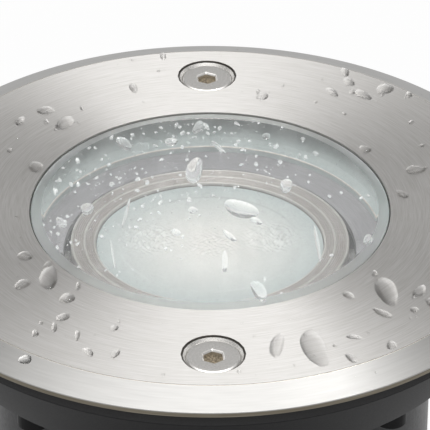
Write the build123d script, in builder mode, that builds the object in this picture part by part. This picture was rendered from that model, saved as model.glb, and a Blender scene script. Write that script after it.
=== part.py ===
"""In-ground well light: a bevelled steel cover ring flush round a stepped glass, on a black mounting collar and pot,
with a GU10 lamp in a tilting cradle. Millimetres, +Z up, origin at the centre of the pot's flat base."""

from build123d import *
import math
import os

# ---------------------------------------------------------------- driving sizes
total_height = 120.0          # pot base to the top of the cover ring

# cover ring
cover_margin = 18.0           # screw axis out to the ring's edge
cover_t = 3.6
bevel_width = 6.6             # sloped border, measured flat
bevel_drop = 2.45
window_margin = 15.1          # lamp's edge out to the opening for the glass
sink_mouth_d = 13.7           # mouth of each countersink

# M6 countersunk cover screws
screw_head_d = 11.8
screw_d = 6.0
screw_clearance = 0.3         # round a screw in a plain hole, on the radius
screw_length = 16.0
head_land = 0.25              # bevelled edge of the head above its cone
socket_af = 4.0
socket_depth = 2.4
seat_clearance = 0.1          # between head cone and countersink, along Z
thread_clearance = 0.06       # running fit of a screw in its thread, on the radius
insert_d = 8.8
insert_length = 9.8
captive_washer_d = 10.5
captive_washer_t = 1.2
captive_washer_gap = 0.1      # under the ring and the head's cone
boss_gap = 0.25               # between a washer and the boss below it

# glass and its seals
glass_t = 8.0
seal_t = 0.8                  # between the ring and the clamped step
glass_side_gap = 0.3          # filled by the seal's upstand
glass_bevel_width = 2.4
glass_bevel_drop = 0.35
step_overlap = 4.4            # how far the step reaches under the ring
seal_recess = 0.6             # top of the upstand below the ring's top
main_gasket_w = 2.1
main_gasket_t = 2.1
gasket_groove_depth = 0.8

# mounting collar
ring_overhang = 2.8           # ring's edge beyond the collar's
collar_rim_height = 4.2       # ring's underside down to the widest edge
collar_rim_chamfer = 2.0
collar_depth = 22.9           # ring top down to the foot of the skirt
collar_taper = 8.6            # widest edge in to the foot, on the radius
collar_wall = 2.6
collar_floor_t = 2.5
collar_pot_gap = 0.55
edge_break = 0.4
rib_count = 12
rib_t = 1.8
rib_top_drop = 1.6            # ribs stop this far under the widest edge
rib_reach = 5.0               # along the floor
cover_boss_d = 12.0
cover_boss_offset = 6.25      # screw axis out from the pot's wall
pot_boss_d = 7.0
pot_boss_length = 7.7         # bosses that hang under the collar
pot_boss_offset = 4.95        # screw axis out from the pot's wall

# pot
pot_glass_gap = 1.75          # round the glass's step
pot_wall = 4.0
pot_floor_t = 4.0
pot_edge_r = 2.0
seat_ledge_drop = 8.0         # glass's underside down to the shelf's seat
seat_ledge_t = 4.5
seat_ledge_w = 5.4
ear_d = 10.0
ear_t = 3.0
pot_screw_d = 3.8
pot_screw_head_d = 7.6
pot_screw_head_t = 2.5
pot_screw_length = 9.4

# inner trim and shelf
trim_top_gap = 0.9            # under the glass
trim_wall = 1.2
trim_lip = 1.4
trim_side_gap = 0.75
shelf_t = 1.5
shelf_cradle_gap = 1.6        # room for the cradle to tip
shelf_width = 5.7             # opening out to the foot of the trim
shelf_dish = 1.1
shelf_side_gap = 0.45
shelf_screw_count = 3
shelf_screw_inset = 2.75      # in from the pot's bore
shelf_screw_d = 2.5
shelf_screw_head_d = 4.4
shelf_screw_head_t = 1.0
shelf_screw_length = 5.0
tilt_ear_t = 2.5
tilt_ear_w = 10.0
tilt_ear_drop = 4.0           # ear tip below the tilt axis
tilt_ear_gap = 0.3

# lamp cradle, tipped about X
tilt_axis_drop = 6.5          # bezel down to the tilt axis, when level
tilt_rest_deg = 2.5           # front edge raised
bezel_drop = 5.4              # glass's underside down to the bezel, when level
cradle_flange = 6.0           # lamp's edge out to the cradle's
cradle_wall = 1.5
cradle_skirt = 2.8            # below the rivets' axis
shoulder_t = 1.8
bezel_height = 3.0
bezel_lip_t = 0.5
bezel_cover = 1.9             # foot of the bezel below the lens's face
bezel_lip_gap = 0.3           # round the lamp's edge
bezel_lens_gap = 0.1          # lip clear of the lens
bezel_ridge_count = 3
bezel_ridge_start = 1.4       # in from the bezel's edge
bezel_ridge_pitch = 1.0
bezel_ridge_h = 0.3
tilt_screw_d = 3.0
tilt_screw_head_d = 5.4
tilt_screw_head_t = 1.0
tilt_boss_d = 6.4
tilt_boss_h = 1.3
stirrup_t = 1.2
stirrup_w = 14.0
rivet_d = 3.0
rivet_head_d = 5.0
rivet_head_t = 0.8
rivet_drop = 4.0              # below the lamp shoulder

# GU10 lamp
lamp_d = 51.0
lens_t = 1.6
lamp_rim_t = 3.2
lamp_shell_height = 31.0
lamp_shell_wall = 1.2
lamp_neck_d = 27.0
lamp_side_gap = 0.4
lamp_base_height = 14.4
lamp_base_d = 22.0
pin_spacing = 10.0
pin_neck_d = 3.1
pin_neck_length = 4.0
pin_head_d = 5.0
pin_head_length = 3.0
pin_play = 0.3
lamp_turn_deg = 35.0          # twist from locked to free

# lamp holder
holder_d = 28.0
holder_height = 18.0
holder_face_t = 3.5
pocket_spare = 1.2            # under the pin heads
contact_t = 0.6
contact_w = 4.0
holder_screw_d = 3.0
holder_screw_length = 6.0
holder_screw_head_d = 5.6
holder_screw_head_t = 2.0
holder_screw_spacing = 20.0

# wiring parts on the pot's floor
block_length = 32.0
block_width = 17.0
block_height = 14.0
block_y = -12.0
block_post_h = 5.0
block_post_d = 7.0
block_way_pitch = 10.0        # also between the two fixings
block_ways = 3
block_entry_d = 4.2
block_screw_well_d = 4.6
block_screw_d = 4.0
block_screw_length = 4.0
block_fixing_d = 2.6
block_fixing_head_d = 5.0
block_fixing_head_t = 1.8
block_fixing_bite = 4.0
earth_x = 30.0
earth_y = -12.0
earth_post_d = 9.0
earth_post_h = 7.0
earth_screw_d = 4.0
earth_screw_bite = 5.0
earth_washer_d = 8.4
earth_washer_t = 1.2
earth_head_d = 7.4
earth_head_t = 2.6

# cable gland in the pot's back wall
gland_z = 20.0
gland_pad_d = 27.0
gland_flat_sink = 1.6         # outer flat, cut below the barrel's surface
gland_pad_proud = 2.05        # inner pad, inside the wall
gland_thread_d = 16.0
gland_thread_length = 13.0
gland_af = 22.0
gland_hex_t = 4.6
gland_neck_d = 17.0
gland_neck_length = 9.0
gland_washer_t = 1.2
gland_nut_length = 14.5
gland_nut_start = 0.4         # running gap between hexagon and nut
gland_nut_mouth_d = 10.4
gland_bore_d = 11.0
gland_cable_d = 8.0
gland_seal_recess = 0.8
locknut_t = 3.6

# ---------------------------------------------------------------- worked-out sizes
lamp_r = lamp_d / 2
window_r = lamp_r + window_margin
cover_angles = (90.0, 270.0)
glass_r = window_r - glass_side_gap
glass_step_r = window_r + step_overlap
glass_step_depth = cover_t + seal_t
pot_bore_r = glass_step_r + pot_glass_gap
pot_r = pot_bore_r + pot_wall
screw_circle_r = pot_r + cover_boss_offset
ear_screw_circle_r = pot_r + pot_boss_offset
cover_r = screw_circle_r + cover_margin
collar_rim_r = cover_r - ring_overhang
collar_foot_r = collar_rim_r - collar_taper
collar_rim_foot = cover_t + collar_rim_height
seat_ledge_depth = glass_t + seat_ledge_drop
ledge_r = pot_bore_r - seat_ledge_w
bezel_depth = glass_t + bezel_drop
tilt_axis_depth = bezel_depth + tilt_axis_drop
gland_flat_y = pot_r - gland_flat_sink
gland_inner_y = pot_bore_r - gland_pad_proud
cradle_r = lamp_r + cradle_flange
cradle_bore_r = cradle_r - cradle_wall
opening_r = cradle_r + shelf_cradle_gap
trim_r = opening_r + shelf_width
head_top = (sink_mouth_d - screw_head_d) / 2 - seat_clearance - head_land
cone_top = head_top + head_land
cone_foot = cone_top + (screw_head_d - screw_d) / 2
screw_tip = head_top + screw_length
washer_top = max(cover_t, cone_foot) + captive_washer_gap
cover_boss_top = washer_top + captive_washer_t + boss_gap
gasket_top = cover_t
neck_top = gasket_top + main_gasket_t - gasket_groove_depth
gasket_mid_r = pot_r - pot_wall / 2
lens_top = bezel_depth + bezel_height - bezel_cover
lamp_shoulder = lens_top + lens_t + lamp_rim_t
lamp_base_top = lens_top + lens_t + lamp_shell_height
holder_face = lamp_base_top + lamp_base_height
holder_foot = holder_face + holder_height
trim_top = glass_t + trim_top_gap
trim_outer_r = pot_bore_r - trim_side_gap
shelf_top = seat_ledge_depth - shelf_t


def up(depth):
    """Height above the base of something this far below the ring's top."""
    return total_height - depth


def turned(name, *outline):
    """A solid of revolution from (radius, depth below the ring's top) corners."""
    with BuildPart() as piece:
        with BuildSketch(Plane.XZ):
            with BuildLine():
                Polyline(*[(r, up(d)) for r, d in outline], close=True)
            make_face()
        revolve(axis=Axis.Z)
    piece.part.label = name
    return piece


def polar_spots(radius, count, first_angle, z):
    """Points spread evenly round the axis at one height."""
    step = 360.0 / count
    angles = [math.radians(first_angle + step * i) for i in range(count)]
    return [(radius * math.cos(a), radius * math.sin(a), z) for a in angles]


def save(piece, name):
    """Label a finished piece and write its file."""
    piece.label = name
    export_step(piece, f"parts/{name}.step")


def tipped(solid):
    """A cradle piece, built level, tipped about the tilt axis to the aim it rests at."""
    axis = Axis((0, 0, up(tilt_axis_depth)), (1, 0, 0))
    return solid.rotate(axis, -tilt_rest_deg)


os.makedirs("parts", exist_ok=True)
ring_screw_spots = polar_spots(screw_circle_r, 2, cover_angles[0], total_height)

# ---------------------------------------------------------------- cover ring
with BuildPart() as cover_ring:
    with BuildSketch(Plane.XZ):
        with BuildLine():
            Polyline(
                (window_r, up(0)),
                (cover_r - bevel_width, up(0)),
                (cover_r, up(bevel_drop)),
                (cover_r, up(cover_t)),
                (window_r, up(cover_t)),
                close=True,
            )
        make_face()
    revolve(axis=Axis.Z)
    with Locations(*ring_screw_spots):
        CounterSinkHole(screw_d / 2 + screw_clearance, sink_mouth_d / 2, counter_sink_angle=90)
save(cover_ring.part, "cover_ring")

# ---------------------------------------------------------------- cover screws
for spot, name in zip(ring_screw_spots, ("cover_screw_rear", "cover_screw_front")):
    with BuildPart() as cover_screw:
        with BuildSketch(Plane.XZ):
            with BuildLine():
                Polyline(
                    (0, up(head_top)),
                    (screw_head_d / 2 - head_land, up(head_top)),
                    (screw_head_d / 2, up(cone_top)),
                    (screw_d / 2, up(cone_foot)),
                    (screw_d / 2, up(screw_tip - 0.7)),
                    (screw_d / 2 - 0.7, up(screw_tip)),
                    (0, up(screw_tip)),
                    close=True,
                )
            make_face()
        revolve(axis=Axis.Z)
        with BuildSketch(Plane.XY.offset(up(head_top))):
            RegularPolygon(socket_af / 2, 6, major_radius=False)
        extrude(amount=-socket_depth, mode=Mode.SUBTRACT)
    save(cover_screw.part.moved(Location((spot[0], spot[1], 0))), name)

# captive washers hold each screw in the ring when the cover is off
with BuildPart() as captive_washers:
    with BuildSketch(Plane.XY.offset(up(washer_top))):
        with PolarLocations(screw_circle_r, 2, start_angle=cover_angles[0]):
            Circle(captive_washer_d / 2)
            Circle(screw_d / 2 + thread_clearance, mode=Mode.SUBTRACT)
    extrude(amount=-captive_washer_t)
save(captive_washers.part, "captive_washers")

# ---------------------------------------------------------------- glass and seals
glass_lens = turned(
    "glass_lens",
    (0, 0),
    (glass_r - glass_bevel_width, 0),
    (glass_r, glass_bevel_drop),
    (glass_r, glass_step_depth),
    (glass_step_r, glass_step_depth),
    (glass_step_r, glass_t),
    (0, glass_t),
)
save(glass_lens.part, "glass_lens")

glass_seal = turned(
    "glass_seal",
    (glass_r, seal_recess),
    (window_r, seal_recess),
    (window_r, cover_t),
    (glass_step_r, cover_t),
    (glass_step_r, glass_step_depth),
    (glass_r, glass_step_depth),
)
save(glass_seal.part, "glass_seal")

with BuildPart() as main_gasket:
    with BuildSketch(Plane.XY.offset(up(gasket_top))):
        Circle(gasket_mid_r + main_gasket_w / 2)
        Circle(gasket_mid_r - main_gasket_w / 2, mode=Mode.SUBTRACT)
    extrude(amount=-main_gasket_t)
save(main_gasket.part, "main_gasket")

# ---------------------------------------------------------------- mounting collar
collar_hole_r = pot_r + collar_pot_gap
collar_floor_top = collar_depth - collar_floor_t
skirt_run = (collar_rim_r - collar_foot_r) / (collar_depth - collar_rim_foot)
inner_foot_r = collar_foot_r - collar_wall + skirt_run * collar_floor_t
inner_rim_r = collar_rim_r - collar_rim_chamfer - collar_wall
inner_step = collar_rim_foot + collar_rim_chamfer / skirt_run
rib_top = collar_rim_foot + rib_top_drop
boss_spots = polar_spots(ear_screw_circle_r, 4, 45, up(collar_floor_top))
insert_spots = polar_spots(screw_circle_r, 2, cover_angles[0], up(cover_boss_top))
with BuildPart() as collar:
    with BuildSketch(Plane.XZ):
        with BuildLine():
            Polyline(
                (inner_rim_r, up(cover_t)),
                (collar_rim_r - collar_rim_chamfer, up(cover_t)),
                (collar_rim_r - collar_rim_chamfer, up(collar_rim_foot - collar_rim_chamfer)),
                (collar_rim_r, up(collar_rim_foot)),
                (collar_foot_r, up(collar_depth)),
                (collar_hole_r, up(collar_depth)),
                (collar_hole_r, up(collar_floor_top)),
                (inner_foot_r, up(collar_floor_top)),
                (inner_rim_r, up(inner_step)),
                close=True,
            )
        make_face()
    revolve(axis=Axis.Z)
    outer_corners = [(collar_rim_r, collar_rim_foot), (collar_foot_r, collar_depth)]
    rounded = ShapeList()
    for corner_r, corner_depth in outer_corners:
        rings = collar.edges().filter_by(GeomType.CIRCLE)
        rounded += rings.filter_by_position(
            Axis.Z, up(corner_depth) - 0.01, up(corner_depth) + 0.01
        ).filter_by(lambda ring, r=corner_r: abs(ring.radius - r) < 0.01)
    fillet(rounded, edge_break)
    # stiffening ribs between floor and skirt
    for i in range(rib_count):
        rib_plane = Plane.XZ.rotated((0, 0, 360.0 / rib_count * i))
        with BuildSketch(rib_plane):
            with BuildLine():
                Polyline(
                    (inner_foot_r - rib_reach, up(collar_floor_top + collar_floor_t / 4)),
                    (inner_foot_r - rib_reach, up(collar_floor_top - rib_t)),
                    (inner_rim_r - rib_t / 2, up(rib_top)),
                    (inner_rim_r + collar_wall / 2, up(rib_top)),
                    (inner_foot_r + collar_wall / 3, up(collar_floor_top + collar_floor_t / 4)),
                    close=True,
                )
            make_face()
        extrude(amount=rib_t / 2, both=True)
    # tall bosses for the cover screws
    with BuildSketch(Plane.XY.offset(up(collar_depth))):
        with PolarLocations(screw_circle_r, 2, start_angle=cover_angles[0]):
            Circle(cover_boss_d / 2)
        with PolarLocations(screw_circle_r + cover_boss_d / 4, 2, start_angle=cover_angles[0]):
            Rectangle(cover_boss_d / 2, rib_t * 1.5)
        Circle(collar_hole_r, mode=Mode.SUBTRACT)
    extrude(amount=collar_depth - cover_boss_top)
    with Locations(*insert_spots):
        Hole(insert_d / 2, depth=insert_length)
        Hole(screw_d / 2 + screw_clearance, depth=screw_tip - cover_boss_top + 1.0)
    # bosses that hang below the floor and take the pot's screws
    with BuildSketch(Plane.XY.offset(up(collar_depth))):
        with PolarLocations(ear_screw_circle_r, 4, start_angle=45):
            Circle(pot_boss_d / 2)
    extrude(amount=-pot_boss_length)
    with Locations(*boss_spots):
        Hole(pot_screw_d / 2 + thread_clearance, depth=pot_screw_length - ear_t + 0.6)
save(collar.part, "mounting_collar")

with BuildPart() as threaded_inserts:
    with BuildSketch(Plane.XY.offset(up(cover_boss_top))):
        with PolarLocations(screw_circle_r, 2, start_angle=cover_angles[0]):
            Circle(insert_d / 2)
            Circle(screw_d / 2 + thread_clearance, mode=Mode.SUBTRACT)
    extrude(amount=-insert_length)
save(threaded_inserts.part, "threaded_inserts")

# ---------------------------------------------------------------- pot
shelf_screw_r = pot_bore_r - shelf_screw_inset
shelf_screw_spots = polar_spots(shelf_screw_r, shelf_screw_count, 90, up(seat_ledge_depth))
gland_plane = Plane(origin=(0, 0, gland_z), x_dir=(1, 0, 0), z_dir=(0, 1, 0))
with BuildPart() as pot:
    with BuildSketch(Plane.XZ):
        with BuildLine():
            Polyline(
                (0, 0),
                (pot_r - pot_edge_r, 0),
                (pot_r, pot_edge_r),
                (pot_r, up(neck_top)),
                (pot_bore_r, up(neck_top)),
                (pot_bore_r, up(seat_ledge_depth)),
                (ledge_r, up(seat_ledge_depth)),
                (ledge_r, up(seat_ledge_depth + seat_ledge_t)),
                (pot_bore_r, up(seat_ledge_depth + seat_ledge_t + seat_ledge_w)),
                (pot_bore_r, pot_floor_t),
                (0, pot_floor_t),
                close=True,
            )
        make_face()
    revolve(axis=Axis.Z)
    # groove for the main gasket
    with BuildSketch(Plane.XY.offset(up(neck_top))):
        Circle(gasket_mid_r + main_gasket_w / 2)
        Circle(gasket_mid_r - main_gasket_w / 2, mode=Mode.SUBTRACT)
    extrude(amount=-gasket_groove_depth, mode=Mode.SUBTRACT)
    # ears that sit on the collar's floor
    with BuildSketch(Plane.XY.offset(up(collar_floor_top))):
        with PolarLocations(ear_screw_circle_r, 4, start_angle=45):
            Circle(ear_d / 2)
        with PolarLocations(ear_screw_circle_r - ear_d / 4, 4, start_angle=45):
            Rectangle(ear_d / 2, ear_d)
        Circle(pot_bore_r + pot_wall / 2, mode=Mode.SUBTRACT)
    extrude(amount=ear_t)
    with Locations(*polar_spots(ear_screw_circle_r, 4, 45, up(collar_floor_top - ear_t))):
        Hole(pot_screw_d / 2 + screw_clearance, depth=ear_t)
    with Locations(*shelf_screw_spots):
        Hole(shelf_screw_d / 2 + thread_clearance, depth=seat_ledge_t - 0.4)
    # flats inside and outside, and a hole, for the gland
    with BuildSketch(gland_plane.offset(gland_inner_y)):
        Circle(gland_pad_d / 2)
    extrude(amount=gland_flat_y - gland_inner_y)
    with BuildSketch(gland_plane.offset(gland_flat_y)):
        Circle(gland_pad_d / 2)
    extrude(amount=2 * gland_flat_sink, mode=Mode.SUBTRACT)
    with BuildSketch(gland_plane.offset(gland_inner_y)):
        Circle(gland_thread_d / 2)
    extrude(amount=gland_flat_y - gland_inner_y, mode=Mode.SUBTRACT)
    # posts for the terminal block and the earth screw
    with BuildSketch(Plane.XY.offset(pot_floor_t)):
        with Locations((0, block_y)):
            with GridLocations(block_way_pitch, 0, 2, 1):
                Circle(block_post_d / 2)
    extrude(amount=block_post_h)
    with BuildSketch(Plane.XY.offset(pot_floor_t)):
        with Locations((earth_x, earth_y)):
            Circle(earth_post_d / 2)
    extrude(amount=earth_post_h)
    with Locations((0, block_y, pot_floor_t + block_post_h)):
        with GridLocations(block_way_pitch, 0, 2, 1):
            Hole(block_fixing_d / 2, depth=block_fixing_bite)
    with Locations((earth_x, earth_y, pot_floor_t + earth_post_h)):
        Hole(earth_screw_d / 2, depth=earth_screw_bite)
save(pot.part, "pot")

# screws through the pot's ears into the collar's bosses
with BuildPart() as pot_screws:
    with BuildSketch(Plane.XY.offset(up(collar_floor_top - ear_t))):
        with PolarLocations(ear_screw_circle_r, 4, start_angle=45):
            Circle(pot_screw_head_d / 2)
    extrude(amount=pot_screw_head_t)
    chamfer(pot_screws.faces().sort_by(Axis.Z)[-4:].edges(), 0.5)
    with BuildSketch(Plane.XY.offset(up(collar_floor_top - ear_t))):
        with PolarLocations(ear_screw_circle_r, 4, start_angle=45):
            Circle(pot_screw_d / 2)
    extrude(amount=-pot_screw_length)
save(pot_screws.part, "pot_screws")

# ---------------------------------------------------------------- inner trim and shelf
trim_ring = turned(
    "trim_ring",
    (trim_r, shelf_top),
    (trim_r, shelf_top - trim_lip),
    (trim_outer_r, trim_top),
    (trim_outer_r, trim_top + trim_wall),
    (trim_r + trim_wall, shelf_top),
)
save(trim_ring.part, "trim_ring")

tilt_ear_x = cradle_r + tilt_boss_h + tilt_ear_gap
with BuildPart() as shelf:
    with BuildSketch(Plane.XZ):
        with BuildLine():
            Polyline(
                (pot_bore_r - shelf_side_gap, up(shelf_top)),
                (pot_bore_r - shelf_side_gap, up(seat_ledge_depth)),
                (trim_r, up(seat_ledge_depth)),
                (opening_r + 0.9, up(seat_ledge_depth + shelf_dish)),
                (opening_r, up(seat_ledge_depth + shelf_dish)),
                (opening_r, up(shelf_top + shelf_dish)),
                (opening_r + 0.9, up(shelf_top + shelf_dish)),
                (trim_r, up(shelf_top)),
                close=True,
            )
        make_face()
    revolve(axis=Axis.Z)
    # two ears that carry the cradle's tilt screws
    for side in (-1, 1):
        with BuildSketch(Plane.YZ.offset(side * tilt_ear_x)):
            with Locations((0, up(tilt_axis_depth))):
                Circle(tilt_ear_w / 2)
            with Locations((0, up((tilt_axis_depth + seat_ledge_depth) / 2))):
                Rectangle(tilt_ear_w, tilt_axis_depth - seat_ledge_depth)
            with Locations((0, up(tilt_axis_depth))):
                Circle(tilt_screw_d / 2 + thread_clearance, mode=Mode.SUBTRACT)
        extrude(amount=side * tilt_ear_t)
    with Locations(*polar_spots(shelf_screw_r, shelf_screw_count, 90, up(shelf_top))):
        Hole(shelf_screw_d / 2 + 0.2, depth=shelf_t)
save(shelf.part, "lamp_shelf")

with BuildPart() as shelf_screws:
    with BuildSketch(Plane.XY.offset(up(shelf_top))):
        with PolarLocations(shelf_screw_r, shelf_screw_count, start_angle=90):
            Circle(shelf_screw_head_d / 2)
    extrude(amount=shelf_screw_head_t)
    with BuildSketch(Plane.XY.offset(up(shelf_top))):
        with PolarLocations(shelf_screw_r, shelf_screw_count, start_angle=90):
            Circle(shelf_screw_d / 2)
    extrude(amount=-shelf_screw_length)
save(shelf_screws.part, "shelf_screws")

# ---------------------------------------------------------------- lamp cradle, built level and tipped
bezel_foot = bezel_depth + bezel_height
leg_top = lamp_shoulder + shoulder_t
rivet_depth = leg_top + rivet_drop
lamp_pocket_r = lamp_r + lamp_side_gap
shoulder_bore_r = lamp_r - 1.3
cradle_foot = rivet_depth + cradle_skirt
with BuildPart() as cradle:
    with BuildSketch(Plane.XZ):
        with BuildLine():
            Polyline(
                (lamp_pocket_r, up(bezel_foot)),
                (cradle_r, up(bezel_foot)),
                (cradle_r, up(cradle_foot)),
                (cradle_bore_r, up(cradle_foot)),
                (cradle_bore_r, up(leg_top)),
                (shoulder_bore_r, up(leg_top)),
                (shoulder_bore_r, up(lamp_shoulder)),
                (lamp_pocket_r, up(lamp_shoulder)),
                close=True,
            )
        make_face()
    revolve(axis=Axis.Z)
    for side in (-1, 1):
        with BuildSketch(Plane.YZ.offset(side * (cradle_r - cradle_wall / 2))):
            with Locations((0, up(tilt_axis_depth))):
                Circle(tilt_boss_d / 2)
        extrude(amount=side * (tilt_boss_h + cradle_wall / 2))
        with BuildSketch(Plane.YZ.offset(side * (cradle_r + tilt_boss_h))):
            with Locations((0, up(tilt_axis_depth))):
                Circle(tilt_screw_d / 2)
        extrude(amount=-side * (tilt_boss_h + 2 * cradle_wall), mode=Mode.SUBTRACT)
    for side in (-1, 1):
        with BuildSketch(Plane.XZ.offset(side * (cradle_r + 1))):
            with Locations((0, up(rivet_depth))):
                Circle(rivet_d / 2)
        extrude(amount=-side * (cradle_wall + 2), mode=Mode.SUBTRACT)
save(tipped(cradle.part), "lamp_cradle")

# bezel: dished ring with fine ridges, round the lamp's front
lip_r = lamp_r + bezel_lip_gap
lip_top = lens_top - bezel_lip_t - bezel_lens_gap
ridge_out_r = cradle_r - bezel_ridge_start
ridges = []
for i in range(bezel_ridge_count):
    crest_r = ridge_out_r - bezel_ridge_pitch * (i + 0.5)
    fall = (ridge_out_r - crest_r) / (ridge_out_r - lip_r) * (lip_top - bezel_depth)
    ridges += [
        (crest_r + bezel_ridge_pitch / 2, bezel_depth + fall),
        (crest_r, bezel_depth + fall - bezel_ridge_h / 2),
    ]
bezel = turned(
    "lamp_bezel",
    (cradle_r, bezel_foot),
    (cradle_r, bezel_depth + 0.3),
    (cradle_r - 0.3, bezel_depth),
    *ridges,
    (lip_r, lip_top),
    (lip_r, lens_top - bezel_lens_gap),
    (lamp_pocket_r, lens_top - bezel_lens_gap),
    (lamp_pocket_r, bezel_foot),
)
save(tipped(bezel.part), "lamp_bezel")

with BuildPart() as tilt_screws:
    head_x = tilt_ear_x + tilt_ear_t + tilt_ear_gap
    for side in (-1, 1):
        with BuildSketch(Plane.YZ.offset(side * cradle_bore_r)):
            with Locations((0, up(tilt_axis_depth))):
                Circle(tilt_screw_d / 2)
        extrude(amount=side * (head_x - cradle_bore_r))
        with BuildSketch(Plane.YZ.offset(side * head_x)):
            with Locations((0, up(tilt_axis_depth))):
                Circle(tilt_screw_head_d / 2)
        extrude(amount=side * tilt_screw_head_t)
save(tipped(tilt_screws.part), "tilt_screws")

# stirrup: two curved legs and a cross strap under the holder
with BuildPart() as stirrup:
    with BuildSketch(Plane.XY.offset(up(leg_top))):
        Circle(cradle_bore_r)
        Circle(cradle_bore_r - stirrup_t, mode=Mode.SUBTRACT)
        Rectangle(stirrup_w, 2 * cradle_r, mode=Mode.INTERSECT)
    extrude(amount=leg_top - holder_foot)
    with BuildSketch(Plane.XY.offset(up(holder_foot))):
        Circle(cradle_bore_r)
        Rectangle(stirrup_w, 2 * cradle_r, mode=Mode.INTERSECT)
    extrude(amount=-stirrup_t)
    with Locations((0, 0, up(holder_foot))):
        with GridLocations(0, holder_screw_spacing, 1, 2):
            Hole(holder_screw_d / 2, depth=stirrup_t)
    for side in (-1, 1):
        with BuildSketch(Plane.XZ.offset(side * (cradle_r + 1))):
            with Locations((0, up(rivet_depth))):
                Circle(rivet_d / 2)
        extrude(amount=-side * (cradle_wall + stirrup_t + 2), mode=Mode.SUBTRACT)
save(tipped(stirrup.part), "holder_stirrup")

with BuildPart() as rivets:
    for side in (-1, 1):
        with BuildSketch(Plane.XZ.offset(side * cradle_r)):
            with Locations((0, up(rivet_depth))):
                Circle(rivet_head_d / 2)
        extrude(amount=side * rivet_head_t)
        with BuildSketch(Plane.XZ.offset(side * cradle_r)):
            with Locations((0, up(rivet_depth))):
                Circle(rivet_d / 2)
        extrude(amount=-side * (cradle_wall + stirrup_t))
save(tipped(rivets.part), "stirrup_rivets")

# lamp holder with two keyhole tracks for the lamp's studs
track_r = pin_spacing / 2
pocket_depth = pin_neck_length + pin_head_length + pocket_spare
with BuildPart() as holder:
    with BuildSketch(Plane.XY.offset(up(holder_face))):
        Circle(holder_d / 2)
    extrude(amount=-holder_height)
    chamfer(holder.faces().sort_by(Axis.Z)[-1].edges(), 1.0)
    for start in (0, 180):
        with BuildSketch(Plane.XY.offset(up(holder_face))):
            track = CenterArc((0, 0), track_r, start, lamp_turn_deg, mode=Mode.PRIVATE)
            SlotArc(track, pin_neck_d + 2 * pin_play)
            with PolarLocations(track_r, 1, start_angle=start + lamp_turn_deg):
                Circle(pin_head_d / 2 + pin_play)
        extrude(amount=-holder_face_t, mode=Mode.SUBTRACT)
        with BuildSketch(Plane.XY.offset(up(holder_face + holder_face_t))):
            track = CenterArc((0, 0), track_r, start, lamp_turn_deg, mode=Mode.PRIVATE)
            SlotArc(track, pin_head_d + 2 * pin_play)
        extrude(amount=holder_face_t - pocket_depth, mode=Mode.SUBTRACT)
    with Locations((0, 0, up(holder_foot))):
        with GridLocations(0, holder_screw_spacing, 1, 2):
            Cylinder(
                holder_screw_d / 2,
                holder_screw_length - stirrup_t + 0.4,
                align=(Align.CENTER, Align.CENTER, Align.MIN),
                mode=Mode.SUBTRACT,
            )
save(tipped(holder.part), "lamp_holder")

with BuildPart() as holder_contacts:
    for start in (0, 180):
        with BuildSketch(Plane.XY.offset(up(holder_face + pocket_depth))):
            track = CenterArc((0, 0), track_r, start, lamp_turn_deg, mode=Mode.PRIVATE)
            SlotArc(track, contact_w)
        extrude(amount=contact_t)
save(tipped(holder_contacts.part), "holder_contacts")

with BuildPart() as holder_screws:
    with BuildSketch(Plane.XY.offset(up(holder_foot + stirrup_t))):
        with GridLocations(0, holder_screw_spacing, 1, 2):
            Circle(holder_screw_head_d / 2)
    extrude(amount=-holder_screw_head_t)
    with BuildSketch(Plane.XY.offset(up(holder_foot + stirrup_t))):
        with GridLocations(0, holder_screw_spacing, 1, 2):
            Circle(holder_screw_d / 2)
    extrude(amount=holder_screw_length)
save(tipped(holder_screws.part), "holder_screws")

# ---------------------------------------------------------------- lamp, built level and tipped
with BuildPart() as lamp_lens:
    with BuildSketch(Plane.XY.offset(up(lens_top))):
        Circle(lamp_r)
    extrude(amount=-lens_t)
    chamfer(lamp_lens.faces().sort_by(Axis.Z)[-1].edges(), 0.3)
save(tipped(lamp_lens.part), "lamp_lens")

shell_top = lens_top + lens_t
shell_foot = lamp_base_top
bowl_r = shoulder_bore_r - 0.4
neck_r = lamp_neck_d / 2
bowl_mid = ((bowl_r + neck_r) / 2 + 2.2, up((lamp_shoulder + shell_foot) / 2))
with BuildPart() as lamp_shell:
    with BuildSketch(Plane.XZ):
        with BuildLine():
            Polyline((0, up(shell_top)), (lamp_r, up(shell_top)), (lamp_r, up(lamp_shoulder)))
            Line((lamp_r, up(lamp_shoulder)), (bowl_r, up(lamp_shoulder)))
            ThreePointArc((bowl_r, up(lamp_shoulder)), bowl_mid, (neck_r, up(shell_foot)))
            Polyline((neck_r, up(shell_foot)), (0, up(shell_foot)), (0, up(shell_top)))
        make_face()
    revolve(axis=Axis.Z)
    with BuildSketch(Plane.XZ):
        with BuildLine():
            inner_top = (bowl_r - lamp_shell_wall, up(shell_top))
            inner_low = (bowl_r - lamp_shell_wall, up(lamp_shoulder))
            inner_mid = (bowl_mid[0] - lamp_shell_wall, bowl_mid[1])
            inner_end = (neck_r - lamp_shell_wall, up(shell_foot - lamp_shell_wall))
            Polyline((0, up(shell_top)), inner_top, inner_low)
            ThreePointArc(inner_low, inner_mid, inner_end)
            Polyline(inner_end, (0, up(shell_foot - lamp_shell_wall)), (0, up(shell_top)))
        make_face()
    revolve(axis=Axis.Z, mode=Mode.SUBTRACT)
save(tipped(lamp_shell.part), "lamp_shell")

lamp_base = turned(
    "lamp_base",
    (0, lamp_base_top),
    (neck_r, lamp_base_top),
    (neck_r, lamp_base_top + lamp_base_height * 0.6),
    (lamp_base_d / 2, lamp_base_top + lamp_base_height * 0.75),
    (lamp_base_d / 2, holder_face),
    (0, holder_face),
)
save(tipped(lamp_base.part), "lamp_base")

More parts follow.
